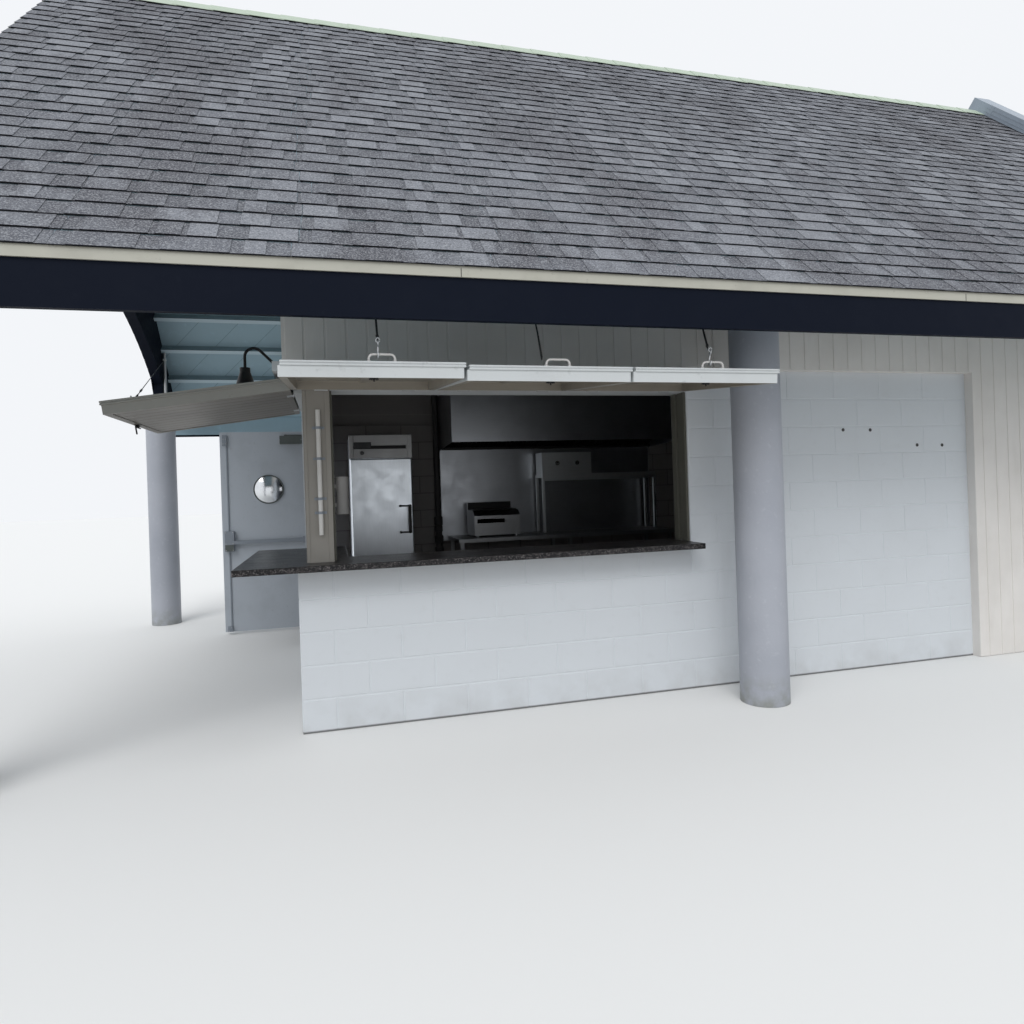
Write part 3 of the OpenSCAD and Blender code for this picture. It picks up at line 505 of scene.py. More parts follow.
painted_metal("case_dark", (0.085, 0.10, 0.095), (0.05, 0.055, 0.05), 0.45)
painted_metal("pipe", (0.075, 0.072, 0.072), (0.04, 0.036, 0.034), 0.5, shine=0.25)
painted_metal("plastic", (0.66, 0.65, 0.63), (0.46, 0.44, 0.41), 0.5)
painted_metal("bulb", (0.80, 0.80, 0.77), (0.62, 0.60, 0.55), 0.2)
steel("appliance", (0.88, 0.93, 0.98), 0.29, (30.0, 30.0, 1.0), 0.16)
steel("panel", (0.36, 0.36, 0.36), 0.36, ACROSS)
steel("stainless", (0.50, 0.52, 0.55), 0.30, ACROSS)
steel("satin_steel", (0.88, 0.91, 0.92), 0.36, ACROSS, 0.10)
steel("oven_steel", (0.46, 0.47, 0.48), 0.34, ACROSS, 0.4)
steel("hardware", (0.50, 0.50, 0.50), 0.34, (20.0, 20.0, 2.0))
steel("galvanised", (0.55, 0.56, 0.57), 0.38, (20.0, 20.0, 20.0))
steel("mirror", (0.78, 0.80, 0.82), 0.10, (3.0, 3.0, 3.0), 0.08)
column_paint()
shingle_grit()
granite()
concrete()
hatch_paint("hatch", (0.64, 0.67, 0.68), (0.315, 0.288, 0.245))
hatch_paint("side_hatch_paint", (0.33, 0.325, 0.30), (0.215, 0.200, 0.178))
ceiling_paint("ceiling", (0.37, 0.52, 0.60))
ceiling_paint("seam", (0.24, 0.34, 0.40))
# The purlins: their own colour is painted shade on the sides, and below is painted light on the faces that
# look down.
ceiling_paint("purlin", (0.24, 0.33, 0.37), (0.60, 0.74, 0.82))

FINISHED_NODES = {
    "concrete": ["floor_slab"],
    "white_block": ["front_sill_wall", "front_wall", "side_sill_wall", "side_wall", "side_wall_rear",
                    "door_head_wall", "back_wall", "right_wall"],
    "trim": ["front_lintel", "side_lintel", "side_ledge"],
    "post": ["corner_post"],
    "siding": ["ground_siding", "front_siding", "back_siding", "left_gable_siding", "right_gable_siding",
               "corner_boards"],
    "granite": ["counter"],
    "column_paint": ["columns"],
    "navy": ["eave_beams", "gable_arch", "ridge_beam", "fascias"],
    "purlin": ["purlins"],
    "ceiling": ["roof_deck_front", "roof_deck_back"],
    "shingle_grit": ["shingles_front", "shingles_back"],
    "green": ["ridge_cap", "rake_boards"],
    "cream": ["drip_trims"],
    "coping": ["rake_coping"],
    "frame": ["door_frame"],
    "door": ["door_leaf"],
    "hardware": ["door_hinges"],
    "mirror": ["door_mirror"],
    "case": ["panic_bar"],
    "case_dark": ["door_closer"],
    "hatch": ["hatch_1", "hatch_2", "hatch_3"],
    "side_hatch_paint": ["side_hatch"],
    "galvanised": ["hatch_hinges", "hatch_cables"],
    "black": ["lamp_arm", "lamp_shade"],
    "plastic": ["conduit", "cup_dispenser"],
    "appliance": ["fridge"],
    "stainless": ["extractor_hood", "splash_back"],
    "oven_steel": ["work_table", "griddle"],
    "satin_steel": ["over_shelf", "control_box"],
    "pipe": ["wall_pipe"],
}
for finish_name, node_names in FINISHED_NODES.items():
    for node_name in node_names:
        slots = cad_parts[node_name].data.materials
        slots.clear()
        slots.append(MATERIALS[finish_name])


# Blocks

def clipped(rect, hole):
    """What is left of a rectangle (u0, z0, u1, z1) outside a hole, as rectangles."""
    u0, z0, u1, z1 = rect
    a0, b0, a1, b1 = hole
    if a0 >= u1 or a1 <= u0 or b0 >= z1 or b1 <= z0:
        return [rect]
    left, right = max(u0, a0), min(u1, a1)
    parts = [(u0, z0, a0, z1), (a1, z0, u1, z1), (left, z0, right, b0), (left, b1, right, z1)]
    return [p for p in parts if p[2] - p[0] > SMALLEST_PART and p[3] - p[1] > SMALLEST_PART]


def outside(rect, holes):
    """What is left of a rectangle outside several holes."""
    rects = [rect]
    for hole in holes:
        rects = [part for whole in rects for part in clipped(whole, hole)]
    return rects


def lay_blocks(shape, place, span, bottom, first, holes, seed):
    """Raised block faces in running bond, up to the top of the walls."""
    rng = random.Random(seed)
    half = JOINT_W / 2
    u0, u1 = span
    course = 0
    z = 0.0
    while z < WALL_TOP - 0.02:
        shift = first + (BLOCK_L / 2 if course % 2 else 0.0)
        u = shift - BLOCK_L * math.ceil((shift - u0) / BLOCK_L)
        while u < u1:
            block = (max(u, u0), max(z, bottom), min(u + BLOCK_L, u1), min(z + BLOCK_H, WALL_TOP))
            out = BLOCK_RELIEF + rng.uniform(-0.0003, 0.0003)
            tone = rng.random()
            for part in outside(block, holes):
                if part[2] - part[0] < SMALLEST_BLOCK or part[3] - part[1] < SMALLEST_BLOCK:
                    continue
                foot = [place(a, b, 0) for a, b in rectangle(part, half)]
                shape.loft([foot, [place(a, b, out) for a, b in rectangle(part, half + BLOCK_BEVEL)]], tone)
            u += BLOCK_L
        z += BLOCK_H
        course += 1


def block_walls():
    """Faces of the block walls outside and inside, and the mortar between the inner ones."""
    sill_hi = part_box("front_sill_wall")[1]
    frame_lo, frame_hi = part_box("door_frame")
    depth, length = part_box("back_wall")[1].y - corner.y, ROOM_END - corner.x
    floor_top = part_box("floor_slab")[1].z
    before, above = -1, 9
    front_hole = (before, sill_hi.z, sill_hi.x - corner.x, above)
    side_hole = (before, sill_hi.z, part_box("side_wall")[0].y - corner.y, above)
    door = (frame_lo.y - corner.y, 0.0, frame_hi.y - corner.y, frame_hi.z)
    fittings = [(lo.x - corner.x, lo.z, hi.x - corner.x, hi.z)
                for lo, hi in (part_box("splash_back"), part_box("extractor_hood"))]
    walls = (
        ("front", "X", 0.0, -1, (0.0, wall_hi.x - corner.x), FRONT_FIRST_JOINT, [front_hole], []),
        ("left", "Y", 0.0, -1, (0.0, depth), FIRST_JOINT, [side_hole, door], []),
        ("back", "X", depth, 1, (0.0, length), FIRST_JOINT, [], fittings),
        ("right", "Y", length, 1, (WALL_T, depth), FIRST_JOINT, [], []),
    )
    inside, mortar = Shape(), Shape()
    for seed, (name, along, face, side, span, first, holes, covered) in enumerate(walls, 1):
        fixed, start = (corner.y, corner.x) if along == "X" else (corner.x, corner.y)
        shape = Shape()
        lay_blocks(shape, wall_face(along, fixed + face, side, start), span, 0.0, first, holes, seed)
        shape.piece("blocks_" + name, "white_block", "painted_block")
        place = wall_face(along, fixed + face - side * WALL_T, -side, start)
        span = (WALL_T, (length if along == "X" else depth) - WALL_T)
        lay_blocks(inside, place, span, floor_top, first, holes + covered, seed + len(walls))
        lowered = [(a, b - 0.001, c, d) for a, b, c, d in holes]
        for rect in outside((span[0], floor_top, span[1], WALL_TOP), lowered + covered):
            mortar.loft([[place(a, b, out) for a, b in rectangle(rect)] for out in (0.0002, 0.0010)])
    inside.piece("blocks_inside", "inner_block", "painted_block")
    mortar.piece("joints_inside", "mortar", "painted_block")


def linings():
    """Boards on the inner faces of the framed walls, above the blocks."""
    shape = Shape()
    x0, x1 = corner.x + WALL_T + 0.002, ROOM_END - WALL_T - 0.002
    board_top = WALL_TOP + 0.137
    for node, inner, side in (("front_siding", 1, 1), ("back_siding", 0, -1)):
        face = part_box(node)[inner].y
        a, b = sorted((face + side * 0.0003, face + side * 0.0033))
        top = under_roof(max(abs(a), abs(b)), PURLIN_DEPTH) - 0.004
        shape.box((x0, a, WALL_TOP + 0.002), (x1, b, board_top))
        shape.box((x0, a, board_top + 0.002), (x1, b, top))
    shape.piece("inner_linings", "inner_block", "painted_block")


def hood_baffles():
    """Slanting baffles under the hood, a strip along their feet and the sheet behind them, all black: the
    black of the baffles is painted shade, and the sheet is there only as painted shade.
    """
    lo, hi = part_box("extractor_hood")
    foot_y, foot_z = hi.y - 0.008, lo.z + 0.016
    head_y, head_z = lo.y + 0.300, lo.z + 0.300
    margin, count = 0.015, 52
    step = (hi.x - lo.x - 2 * margin) / count
    shape = Shape()

    def slanted(xa, xb, lift, thick):
        low = [(xa, foot_y, foot_z + lift), (xb, foot_y, foot_z + lift),
               (xb, head_y, head_z + lift), (xa, head_y, head_z + lift)]
        shape.loft([low, moved(low, z=thick)])

    for i in range(count):
        x = lo.x + margin + i * step
        slanted(x, x + step * 0.6, 0.0, 0.018)
    shape.box((lo.x + 0.010, hi.y - 0.070, lo.z + 0.006), (hi.x - 0.010, foot_y, lo.z + 0.034), 0.002)
    # Painted shade: a plain black sheet behind the baffles.
    slanted(lo.x + 0.010, hi.x - 0.010, 0.020, 0.004)
    shape.piece("hood_baffles", "black", "stainless")


# Grooved siding

def plank_edges(u, u0, u1):
    """The two edges of the plank whose groove is at u, kept between u0 and u1."""
    return max(u + GROOVE_W / 2, u0), min(u + GROOVE_PITCH - GROOVE_W / 2, u1)


def lay_planks(shape, place, u0, u1, bottom, top, first):
    """Planks between grooves; top(u) is the height where a plank ends."""
    rng = random.Random(int(abs(u0) * 1000) + 17)
    u = u0 - ((u0 - first) % GROOVE_PITCH)
    while u < u1:
        a, b = plank_edges(u, u0, u1)
        u += GROOVE_PITCH
        if b - a < 0.01 or min(top(a), top(b)) <= bottom + 0.01:
            continue
        rings = []
        for c, out in ((0.0, 0.0), (GROOVE_SLANT, PLANK_RELIEF)):
            a_in, b_in = a + c, b - c
            rings.append([place(a_in, bottom, out), place(b_in, bottom, out),
                          place(b_in, top(b_in), out), place(a_in, top(a_in), out)])
        shape.loft(rings, rng.random())


def siding():
    """Planks on the framed walls: up to the blocks' top, to the eaves or to a gable's slopes."""
    ground_lo, ground_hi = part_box("ground_siding")
    left_lo, left_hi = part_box("left_gable_siding")
    right_lo, right_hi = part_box("right_gable_siding")
    front_y, back_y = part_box("front_siding")[0].y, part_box("back_siding")[1].y
    depth = PURLIN_DEPTH + 0.0005
    first = corner.x + FIRST_GROOVE
    eave = under_roof(front_y, depth)
    walls = (
        ("ground", "X", front_y, -1, ground_lo.x, ground_hi.x, 0.004, lambda u: WALL_TOP, first),
        ("front", "X", front_y, -1, left_lo.x, right_hi.x, WALL_TOP, lambda u: eave, first),
        ("back", "X", back_y, 1, left_lo.x, right_hi.x, WALL_TOP, lambda u: eave, first),
        ("left_gable", "Y", left_lo.x, -1, left_lo.y, left_hi.y, WALL_TOP,
         lambda u: under_roof(u, depth), left_lo.y),
        ("right_gable", "Y", right_hi.x, 1, right_lo.y, right_hi.y, WALL_TOP,
         lambda u: under_roof(u, DECK_DEPTH + 0.001), left_lo.y),
    )
    for name, along, face, side, *span in walls:
        shape = Shape()
        lay_planks(shape, wall_face(along, face, side), *span)
        shape.piece("planks_" + name, "siding", "siding")


def arch_under(y):
    """Height of the porch panel's lower edge: an arch between two short legs."""
    if abs(y) > ARCH_FOOT:
        return arch_lo.z
    return ARCH_CROWN - ARCH_R + math.sqrt(max(ARCH_R * ARCH_R - y * y, 0.0))


def porch_planks():
    """Navy boards on the outer face of the panel that closes the porch's gable."""
    shape = Shape()
    rng = random.Random(31)
    u = arch_lo.y + 0.004
    while u < arch_hi.y - 0.01:
        a, b = plank_edges(u, u, arch_hi.y - 0.002)
        u += GROOVE_PITCH
        foot_a, foot_b = arch_under(a), arch_under(b)
        head_a, head_b = under_roof(a, DECK_DEPTH + 0.002), under_roof(b, DECK_DEPTH + 0.002)
        if min(head_a - foot_a, head_b - foot_b) < 0.02:
            continue
        rings = []
        for c, out in ((0.0, 0.0), (GROOVE_SLANT, PLANK_RELIEF)):
            x = arch_lo.x - out
            rings.append([(x, a + c, foot_a), (x, b - c, foot_b),
                          (x, b - c, head_b - c), (x, a + c, head_a - c)])
        shape.loft(rings, rng.random())
    shape.piece("planks_porch", "navy", "navy_paint")


# Roof

def shingles(name, side, seed):
    """Laminated shingles: each course is a base strip with random raised tabs."""
    rng = random.Random(seed)
    shape = Shape()
    step = SLOPE_L / SHINGLE_COURSES
    tab_top, base_top, base_foot = 0.0005, 0.0042, 0.0082
    gap = 0.002

    def slab(xa, xb, s0, s1, top0, top1, foot0, foot1, tone):
        """A sheet from s0 up to s1, with the depths of its upper and lower face at both."""
        rings = [[slope_point(xa, s0, d0, side), slope_point(xb, s0, d0, side),
                  slope_point(xb, s1, d1, side), slope_point(xa, s1, d1, side)]
                 for d0, d1 in ((foot0, foot1), (top0, top1))]
        shape.loft(rings[::-1] if side > 0 else rings, tone)
        # Painted shade: the face along the sheet's lower edge gets tone -0.35, which the shingle finish turns
        # near black.
        shape.tones[-6] = -0.35

    for course in range(SHINGLE_COURSES):
        s0 = course * step
        s1 = s0 + step
        x = roof_lo.x
        while x < roof_hi.x:
            x_end = min(x + rng.uniform(0.92, 1.0), roof_hi.x)
            sag = rng.uniform(0.0, 0.0005)
            slab(x, x_end - gap, s0 + rng.uniform(0.0, 0.002), s1,
                 base_top + sag, 0.0115, base_foot, SHINGLE_T, rng.uniform(0.0, 0.5))
            tab = x + rng.uniform(0.0, 0.08)
            while tab < x_end - 0.03:
                wide = rng.choice((0.10, 0.13, 0.17, 0.21, 0.26)) + rng.uniform(-0.012, 0.012)
                tab_end = min(tab + wide, x_end - gap)
                lift = rng.uniform(0.0, 0.0006)
                slab(tab, tab_end, s0 + rng.uniform(0.0, 0.003), s1,
                     tab_top + lift, 0.0078, base_top, SHINGLE_T - 0.0005, rng.uniform(0.25, 1.0))
                tab = tab_end + rng.choice((0.02, 0.05, 0.09, 0.13)) + rng.uniform(0.0, 0.012)
            x = x_end
    return shape.piece(name, "shingle_grit", "shingle")


def ridge_caps():
    """Bent caps that lap each other along the ridge."""
    lo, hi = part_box("ridge_cap")
    leg = (hi.y - lo.y) / 2 / math.cos(PITCH)
    folds = (-leg, -leg * 0.5, -0.012, 0.012, leg * 0.5, leg)
    count, thick, rise = 33, 0.004, 0.009
    step = (hi.x - lo.x) / count
    rng = random.Random(5)
    shape = Shape()
    for i in range(count):
        start = lo.x + i * step
        rings = []
        for x, lift in ((start, rise - thick), (min(start + step * 1.12, hi.x), 0.001)):
            outline = [(u, lift + thick) for u in folds] + [(u, lift) for u in reversed(folds)]
            rings.append([(x, u * math.cos(PITCH), under_roof(u * math.cos(PITCH), -over))
                          for u, over in outline])
        shape.loft(rings, rng.random())
    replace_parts(shape.piece("ridge_caps", "green", "green_metal"), "ridge_cap")


def roof():
    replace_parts(shingles("shingle_courses_front", 1, 11), "shingles_front")
    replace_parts(shingles("shingle_courses_back", -1, 12), "shingles_back")
    ridge_caps()


# Corner post and counter

def corner_post():
    """A boxed post of boards, set back from the corner, with beads along its edges."""
    top = post_hi.z
    x0, x1, y0, y1 = POST
    shape = Shape()
    shape.box(at(x0, y0, post_lo.z), at(x1, y1, top), 0.003)
    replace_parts(shape.piece("post_core", "post", "painted_trim"), "corner_post")
    shape = Shape()
    for xa, xb in ((x0, x0 + 0.018), (x1 - 0.030, x1)):
        shape.box(at(xa, y0 - 0.004, COUNTER_TOP), at(xb, y0 + 0.001, top - 0.001), 0.0012)
    for ya in (y0 + 0.004, y1 - 0.024):
        shape.box(at(x0 - 0.004, ya, COUNTER_TOP), at(x0 + 0.001, ya + 0.020, top - 0.001), 0.0012)
    shape.box(at(x0 - 0.006, y0 - 0.006, top - 0.060), at(x1 + 0.002, y0 + 0.001, top - 0.0005), 0.002)
    shape.piece("post_beads", "post", "painted_trim")


def counter_slab():
    """The stone slab with eased edges, notched round the post."""
    lo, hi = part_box("counter")
    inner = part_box("floor_slab")[0] + Vector((0.100, 0.100, 0.0))
    outline = [(lo.x, lo.y), (hi.x, lo.y), (hi.x, inner.y), (inner.x, inner.y), (inner.x, hi.y), (lo.x, hi.y)]
    x0, x1, y0, y1 = POST
    notch = rectangle((corner.x + x0, corner.y + y0, corner.x + x1, corner.y + y1))
    bm = bmesh.new()
    edges = []
    for ring in (outline, notch):
        verts = [bm.verts.new((x, y, lo.z)) for x, y in ring]
        edges += [bm.edges.new((a, b)) for a, b in zip(verts, verts[1:] + verts[:1])]
    bmesh.ops.triangle_fill(bm, edges=edges, use_beauty=True)
    bmesh.ops.dissolve_limit(bm, angle_limit=0.01, verts=bm.verts[:], edges=bm.edges[:])
    made = bmesh.ops.extrude_face_region(bm, geom=bm.faces[:])
    raised = [item for item in made["geom"] if isinstance(item, bmesh.types.BMVert)]
    bmesh.ops.translate(bm, verts=raised, vec=(0, 0, hi.z - lo.z))
    bmesh.ops.recalc_face_normals(bm, faces=bm.faces[:])
    rim = [e for e in bm.edges if len(e.link_faces) == 2 and e.calc_face_angle(0.0) > 0.5]
    bmesh.ops.bevel(bm, geom=rim, offset=0.004, segments=3, profile=0.5, affect="EDGES")
    mesh = bpy.data.meshes.new("counter_stone")
    bm.to_mesh(mesh)
    bm.free()
    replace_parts(add_piece("counter_stone", mesh, "granite"), "counter")


# Hatches: each is made with its hinge line on X, its outer edge at -Y and its sheet on top

def hatch_place(x, y, turn, slope):
    """Where a hatch hangs: one end of its hinge, the way that it looks and its slope when open."""
    return (Matrix.Translation(at(x, y, HEAD_Z)) @ Matrix.Rotation(math.radians(turn), 4, "Z")
            @ Matrix.Rotation(math.radians(slope), 4, "X"))


def soften(piece, width):
    """Eased edges."""
    bevel = piece.modifiers.new("ease", "BEVEL")
    bevel.width = width
    bevel.segments = 2
    bevel.limit_method = "ANGLE"
    bevel.angle_limit = math.radians(40)


def mitred_frame(shape, leaf):
    """Four boards that meet in mitres; their inner edges and undersides carry the tone 1."""
    outer, inner = rectangle(leaf), rectangle(leaf, HATCH_RIM)
    for k in range(4):
        j = (k + 1) % 4
        quad = [Vector(p) for p in (outer[k], outer[j], inner[j], inner[k])]
        along = (quad[1] - quad[0]).normalized() * 0.0006
        quad = [quad[0] + along, quad[1] - along, quad[2] - along, quad[3] + along]
        shape.loft([[(p.x, p.y, z) for p in quad] for z in (0.0, HATCH_BOARD)], 0.3)
        shape.tones[-4] = shape.tones[-2] = 1.0


def hatch_planks(shape, x0, y0, x1, y1):
    """Grooved boards that close the underside of the side flap."""
    x = x0 + 0.001
    while x < x1 - 0.02:
        wide = min(GROOVE_PITCH, x1 - 0.001 - x)
        shape.loft([[(u, v, z) for u, v in rectangle((x + c, y0, x + wide - c, y1))]
                    for c, z in ((0.004, 0.004), (0.001, HATCH_BOARD))], 1.0)
        x += GROOVE_PITCH


def hatch_panels(shape, x0, y0, x1, y1):
    """A bead round the sunk underside of a front hatch, its sheet and the board along its middle."""
    low = HATCH_BOARD - 0.007
    edge, sunk = rectangle((x0, y0, x1, y1)), rectangle((x0, y0, x1, y1), 0.010)
    for k in range(4):
        j = (k + 1) % 4
        quad = (sunk[k], sunk[j], edge[j], edge[k])
        levels = (low + 0.005, low + 0.005, low - 0.004, low - 0.004)
        shape.loft([[(*p, z) for p, z in zip(quad, levels)], [(*p, HATCH_BOARD) for p in quad]], 1.0)
    middle = (x0 + x1) / 2
    shape.box((middle - 0.03, y0, low - 0.004), (middle + 0.03, y1, HATCH_BOARD), 0.002, 1.0)
    shape.box((x0 + 0.002, y0 + 0.002, HATCH_BOARD - 0.003), (x1 - 0.002, y1 - 0.002, HATCH_BOARD), 0.0, 1.0)


def hatch_leaf(name, node, body, place, w, planked):
    """A frame of mitred boards, closed below, under a sheet in layers that reaches past it."""
    shape = Shape(place)
    end, near = -HATCH_L, -HINGE_GAP
    leaf = (0.0, end + HATCH_INSET, w, near)
    mitred_frame(shape, leaf)
    lap, layer = 0.010, 0.0101
    for inset, z0, z1, bevel in ((0.0, HATCH_BOARD, HATCH_BOARD + layer, 0.0015),
                                 (0.003, HATCH_BOARD + layer, HATCH_TOP - layer, 0.0),
                                 (0.0, HATCH_TOP - layer, HATCH_TOP, 0.0015)):
        shape.box((lap + inset, end + inset, z0), (w + lap - inset, near - inset, z1), bevel)
    close = hatch_planks if planked else hatch_panels
    close(shape, HATCH_RIM, leaf[1] + HATCH_RIM, w - HATCH_RIM, near - HATCH_RIM)
    piece = shape.piece(name, "side_hatch_paint" if planked else "hatch", "hatch_paint", body)
    soften(piece, 0.0012)
    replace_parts(piece, node)


def hatch_handle(name, body, place, w):
    """A rod bent twice, on two round plates."""
    shape = Shape(place)
    x, y, z = w / 2 + HANDLE_SIDE, HANDLE_Y, HATCH_TOP - 0.004
    half, high, bend = 0.062, 0.0375, 0.022
    path = [(x - half, y, z)]
    for side, start in ((-1, 180), (1, 90)):
        centre = (x + side * (half - bend), y, z + high - bend)
        path += arc(centre, (bend, 0, 0), (0, 0, bend), start, start - 90, 6)
    shape.tube(path + [(x + half, y, z)], 0.006, 12)
    for side in (-half, half):
        shape.disc((x + side, y, HATCH_TOP), (0, 0, 1), 0.011, 0.004)
    shape.piece(name, "plastic", "hatch_paint", body, smooth=True)


def hatch_straps(name, body, place, w):
    """The plates of the hinges under the leaf, each with two screws."""
    shape = Shape(place)
    below, near = -0.0022, -HINGE_GAP
    for part in (0.2, 0.8):
        x = part * (w + 0.015)
        shape.box((x - 0.038, near - 0.034, below), (x + 0.038, near + 0.003, 0.0003), 0.0006)
        for side in (-0.024, 0.024):
            shape.disc((x + side, near - 0.020, below), (0, 0, -1), 0.005, 0.0012, 10)
    shape.piece(name, "galvanised", "hardware", body)


def hatch_latch(name, body, place, w, long_arm):
    """A small bolt under the outer board; the side flap's has a long bent arm."""
    x, y = w / 2, HANDLE_Y
    k = 1.0 if long_arm else 0.6
    shape = Shape(place)
    shape.box((x - 0.032 * k, y - 0.014 * k, -0.003), (x + 0.032 * k, y + 0.014 * k, 0.0005), 0.001)
    shape.tube([(x - 0.040 * k, y, -0.009 * k), (x + 0.036 * k, y, -0.009 * k)], 0.0055 * k, 10)
    for side in (-0.018 * k, 0.018 * k):
        eye = x + side
        shape.box((eye - 0.005 * k, y - 0.009 * k, -0.016 * k),
                  (eye + 0.005 * k, y + 0.009 * k, -0.002), 0.002 * k)
    if long_arm:
        bent = ((0.036, -0.009), (0.044, -0.014), (0.046, -0.030), (0.046, -0.066))
        shape.tube([(x + dx, y, z) for dx, z in bent], 0.005, 10)
        shape.tube([(x - 0.052, y + 0.004, -0.020), (x + 0.046, y + 0.004, -0.020)], 0.004, 10)
    else:
        shape.tube([(x, y, -0.006), (x, y - 0.003, -0.017)], [0.003, 0.004], 10)
    shape.piece(name, "black", "black_paint", body)


def hatch_hook(name, body, place, w):
    """A hook over the handle with the two links that the cable is tied to."""
    x, y, bar = w / 2 + HANDLE_SIDE - 0.0175, HANDLE_Y, 0.1055
    r = 0.0115
    shape = Shape(place)
    path = [(x, y + 0.001, bar + 0.050), (x, y + 0.003, bar + 0.030), (x, y + r, bar + 0.012)]
    path += arc((x, y, bar), (0, r, 0), (0, 0, r), 0, -180, 6)
    shape.tube(path + [(x, y - r - 0.004, bar + 0.012)], 0.0042, 10)
    for level, wide in ((0.060, (0, 0.009, 0)), (0.073, (0.009, 0, 0))):
        shape.tube(arc((x, y, bar + level), wide, (0, 0, 0.011)), 0.0034, 8)
    shape.piece(name, "galvanised", "cable", body, smooth=True)


def hatch(names, node, body, place, w, side_flap=False, hooked=True):
    """One hatch; names gives the name of each of its pieces."""
    leaf = names.format("leaf")
    hatch_leaf(leaf, node, body, place, w, side_flap)
    hatch_handle(leaf + "_handle", body, place, w)
    hatch_straps(leaf + "_straps", body, place, w)
    hatch_latch(names.format("latch"), body, place, w, side_flap)
    if hooked:
        hatch_hook(names.format("hook"), body, place, w)


def hatches():
    for i, which in enumerate(("left", "middle", "right")):
        place = hatch_place(i * HATCH_STEP - 0.008, -HINGE_GAP, 0, HATCH_SLOPES[i])
        hatch(f"hatch_{{}}_{i + 1}", f"hatch_{i + 1}", "front_hatch_" + which, place, HATCH_W, hooked=i != 1)
    place = hatch_place(-HINGE_GAP, SIDE_HATCH_Y, -90, SIDE_HATCH_SLOPE)
    hatch("side_{}", "side_hatch", "side_flap", place, SIDE_HATCH_W, side_flap=True)


# Cables

def purlin_foot(i):
    """The point under the lower edge of a purlin, counted up from the front eave."""
    c = math.cos(PITCH)
    run = (SLOPE_L - FIRST_PURLIN - PURLIN_STEP * i) * c
    deep, half = (PURLIN_DEPTH - DECK_DEPTH) * c, PURLIN_W / 2 * c
    return -run + deep - half, RIDGE_Z - run - DECK_DEPTH / c - deep - half


def hook_reach(slope):
    """How far out and how high a cable starts over an open hatch with this slope."""
    turn = math.radians(slope)
    return HINGE_GAP - HANDLE_Y * math.cos(turn), HEAD_Z + HATCH_TOP + 0.100 + HANDLE_Y * math.sin(turn)


def front_cables(cables, metal):
    """Cables from the front hatches to eyes behind the fascia; the middle one hangs loose."""
    top_y, top_z = purlin_foot(0)
    for i, lean in enumerate((0.011, 0.070, 0.051)):
        out, z = hook_reach(HATCH_SLOPES[i])
        low = at((i + 0.5) * HATCH_STEP + 0.007, -out, z)
        if i == 1:
            low += Vector((-0.066, 0.0, -0.053))
        top = Vector((low.x - lean, top_y, top_z - 0.004))
        if i == 1:
            bow = [low.lerp(top, t) + Vector((0.012 * math.sin(math.pi * t), 0, 0))
                   for t in (0, 0.15, 0.3, 0.5, 0.7, 0.85, 1)]
            cables.tube(bow, [0.0055, 0.0055, 0.0045, 0.004, 0.004, 0.004, 0.004], 10)
            cables.tube(moved([low], z=-0.016) + moved([low], z=0.002), [0.003, 0.006], 10)
        else:
            cables.tube([low.lerp(top, t) for t in (0, 0.1, 0.25, 0.27, 1)],
                        [0.003, 0.0055, 0.0055, 0.005, 0.005], 10)
            knot = low.lerp(top, 0.06)
            cables.tube([knot + Vector((0, 0, z)) for z in (-0.010, 0, 0.012)], [0.004, 0.009, 0.004], 10)
        metal.disc(top + Vector((0, 0, 0.0045)), (0, -1, -1), 0.012, 0.006, 12)
        metal.tube(ring_xz(top + Vector((0, 0, -0.008)), 0.010), 0.0025, 8)


def side_cable(cables, metal):
    """The side flap's cable, and the short post under a purlin that it runs to."""
    post_y, post_z = purlin_foot(2)
    post_r = 0.017
    x, y = arch_hi.x + 0.012 + post_r, -post_y
    foot = Vector((x, y, arch_lo.z))
    metal.tube([foot, (x, y, post_z - 0.001)], post_r, 20)
    metal.disc(foot, (0, 0, 1), 0.040, 0.010, 20)
    metal.tube([(x, y, post_z - z) for z in (0.092, 0.088, 0.066, 0.062)], [0.018, 0.024, 0.024, 0.018], 20)
    tie = Vector((x, y, post_z - 0.077))
    out, z = hook_reach(SIDE_HATCH_SLOPE)
    low = at(-out, SIDE_HATCH_Y / 2 + 0.006 - HANDLE_SIDE + 0.025, z)
    cables.tube([low.lerp(tie, t) for t in (0, 0.04, 0.05, 1)], [0.006, 0.006, 0.003, 0.003], 10)
    cables.tube([low.lerp(tie, 0.10), low.lerp(tie, 0.13)], 0.007, 10)
    metal.tube([tie + Vector((0, -0.024, 0)), tie + Vector((0, -0.060, -0.012))], [0.006, 0.009], 10)


def stays():
    """The cables that hold the hatches up, with their eyes, knots and sleeves."""
    cables, metal = Shape(), Shape()
    front_cables(cables, metal)
    side_cable(cables, metal)
    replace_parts(cables.piece("stay_cables", "black", "cable", smooth=True), "hatch_cables")
    metal.piece("stay_fittings", "galvanised", "cable")


# Small things on the walls

def conduit_straps():
    """Half-round straps over the conduit, with two screwed feet each."""
    shape = Shape()
    high, face = 0.016, corner.y - 0.0022
    for z in STRAP_LEVELS:
        centre = at(CONDUIT_X, -0.0138, z)
        inner, outer = (arc(centre, (r, 0, 0), (0, r, 0), 180, 360, 9) for r in (CONDUIT_R, CONDUIT_R * 1.15))
        for k in range(9):
            quad = [inner[k], inner[k + 1], outer[k + 1], outer[k]]
            shape.loft([quad, moved(quad, z=high)])
        for side in (-0.0255, 0.0255):
            x = centre.x + side
            shape.box((x - 0.0105, face, z), (x + 0.0105, corner.y - 0.0002, z + high), 0.0006)
            shape.disc((x, face, z + high / 2), (0, -1, 0), 0.0035, 0.0014, 8)
    shape.piece("conduit_straps", "case", "hardware")


